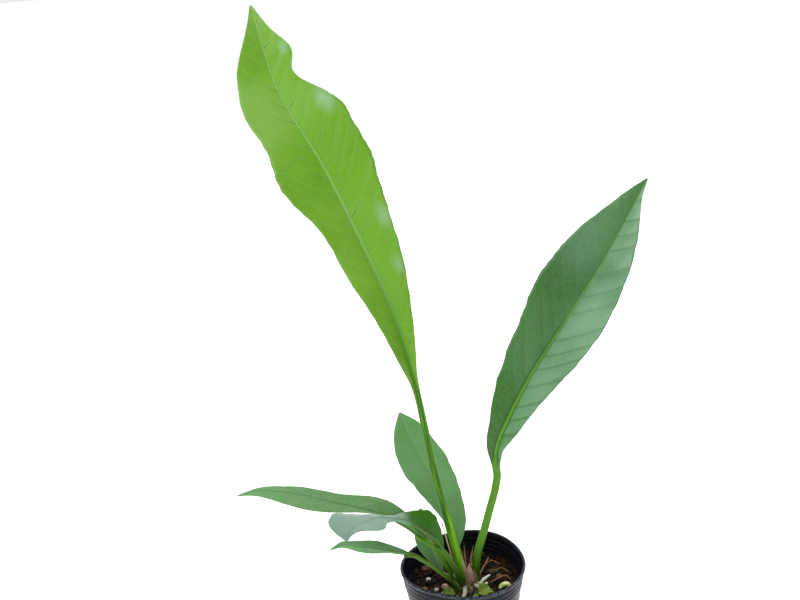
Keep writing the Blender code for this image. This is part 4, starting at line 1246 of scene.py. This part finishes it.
def kind_of(grain_name):
    return grain_name.rstrip("_123456")


def make_grain(name, place, size, surface):
    """A loose lump: broken and pitted perlite, a rounded stone or a flaky chip."""
    shape = bmesh.new()
    bmesh.ops.create_icosphere(shape, subdivisions=5, radius=1)
    sway = Vector((place[0], place[1], 0)) * 37
    x, y, _ = on_soil((*place, 0))
    middle = Vector((x, y, soil_here(x, y) + size[2] * MM * 0.75))
    points = []
    for vertex in shape.verts:
        spot = vertex.co
        grow = 1 + 0.22 * noise.noise(spot * 1.7 + sway)
        if "bark" in name:
            grow -= 0.10 * abs(noise.noise(Vector((spot.x * 2, spot.y * 9, spot.z * 9)) + sway))
        elif "perlite" in name:
            grow -= 0.16 * abs(noise.noise(spot * 3.3 + sway)) + 0.05 * abs(noise.noise(spot * 9 + sway))
        else:
            grow += 0.03 * noise.noise(spot * 5 + sway)
        points.append(middle + Vector([spot[axis] * grow * size[axis] * MM for axis in range(3)]))
    faces = [[vertex.index for vertex in face.verts] for face in shape.faces]
    shape.free()
    return stand_for(add_mesh(name + "_body", points, faces, [surface]), [name])


make_crown()
wrap_crown()
root_skin = root_surface()
for root_name, root_design in ROOTS.items():
    make_root(root_name, *root_design, root_skin)
for sheath_name, sheath_design in [*SHEATHS.items(), *TORN_SHEATHS.items()]:
    make_sheath(sheath_name, *sheath_design)
dry = dry_surface("dry_strand", (0.34, 0.18, 0.07), (0.16, 0.075, 0.028))
for strand_name, strand_design in STRANDS.items():
    make_strand(strand_name, *strand_design, dry)
fresh = weed_surface()
for weed_name, weed_design in WEEDS.items():
    make_weed(weed_name, *weed_design, fresh)
make_seed()
GRAIN_SURFACES = {
    "beige_stone": grain_surface("stone", (0.50, 0.37, 0.28), (0.34, 0.23, 0.17), 300.0, 0.7),
    "perlite": grain_surface("white_perlite", (0.82, 0.82, 0.78), (0.60, 0.59, 0.54), 500.0, 0.9),
    "bark_chip": grain_surface("bark", (0.15, 0.070, 0.030), (0.05, 0.025, 0.012), 250.0, 0.85),
}
for grain_name, grain_design in GRAINS.items():
    make_grain(grain_name, *grain_design, GRAIN_SURFACES[kind_of(grain_name)])


# ---- Studio


def make_floor():
    corners = [(x * FLOOR_REACH, y * FLOOR_REACH, 0) for x, y in ((-1, -1), (1, -1), (1, 1), (-1, 1))]
    nodes = Nodes("floor")
    grain = nodes.noise(3.0, 2.0)
    colour = nodes.mix(grain, (0.93, 0.93, 0.93), (0.95, 0.95, 0.95))
    nodes.put(colour, nodes.span(grain, 0.3, 0.7, 0.9, 1.0), 0.0)
    nodes.shader.inputs["Emission Color"].default_value = (1.0, 1.0, 1.0, 1.0)
    nodes.shader.inputs["Emission Strength"].default_value = FLOOR_GLOW
    floor = add_mesh("floor", corners, [(0, 1, 2, 3)], [nodes.material], smooth=False)


def add_light(name, place, power):
    """A soft square lamp aimed at the plant."""
    lamp = bpy.data.lights.new(name, "AREA")
    lamp.shape = "SQUARE"
    lamp.size = LAMP_SIZE
    lamp.energy = power
    holder = bpy.data.objects.new(name, lamp)
    holder.location = place
    aim = Vector(LAMP_TARGET) - Vector(place)
    holder.rotation_euler = aim.to_track_quat("-Z", "Y").to_euler()
    bpy.context.scene.collection.objects.link(holder)


def light_studio():
    world = bpy.data.worlds.new("studio")
    world.use_nodes = True
    tree = world.node_tree
    background = tree.nodes["Background"]
    place = tree.nodes.new("ShaderNodeTexCoord")
    split = tree.nodes.new("ShaderNodeSeparateXYZ")
    fade = tree.nodes.new("ShaderNodeMapRange")
    for socket, value in zip(fade.inputs[1:5], (-0.9, 0.9, FRONT_WORLD, BACK_WORLD)):
        socket.default_value = value
    tree.links.new(place.outputs["Generated"], split.inputs[0])
    tree.links.new(split.outputs[1], fade.inputs[0])
    tree.links.new(fade.outputs[0], background.inputs["Strength"])
    background.inputs["Color"].default_value = (0.97, 0.99, 1.0, 1.0)
    bpy.context.scene.world = world
    for name, (place, power) in LAMPS.items():
        add_light(name, place, power)
    bpy.context.scene.view_settings.view_transform = "Standard"


def add_camera():
    """A camera tipped down and rolled, placed from the crown."""
    camera = bpy.data.objects.new("camera", bpy.data.cameras.new("camera"))
    camera.data.lens = LENS
    camera.data.sensor_width = SENSOR_WIDTH
    camera.data.clip_end = 1000.0
    turn = Matrix.Rotation(math.pi / 2 - CAMERA_PITCH, 4, "X") @ Matrix.Rotation(-CAMERA_ROLL, 4, "Z")
    camera.matrix_world = Matrix.Translation(Vector(CROWN.tolist()) + CAMERA_FROM_CROWN) @ turn
    bpy.context.scene.collection.objects.link(camera)
    bpy.context.scene.camera = camera


make_floor()
light_studio()
add_camera()
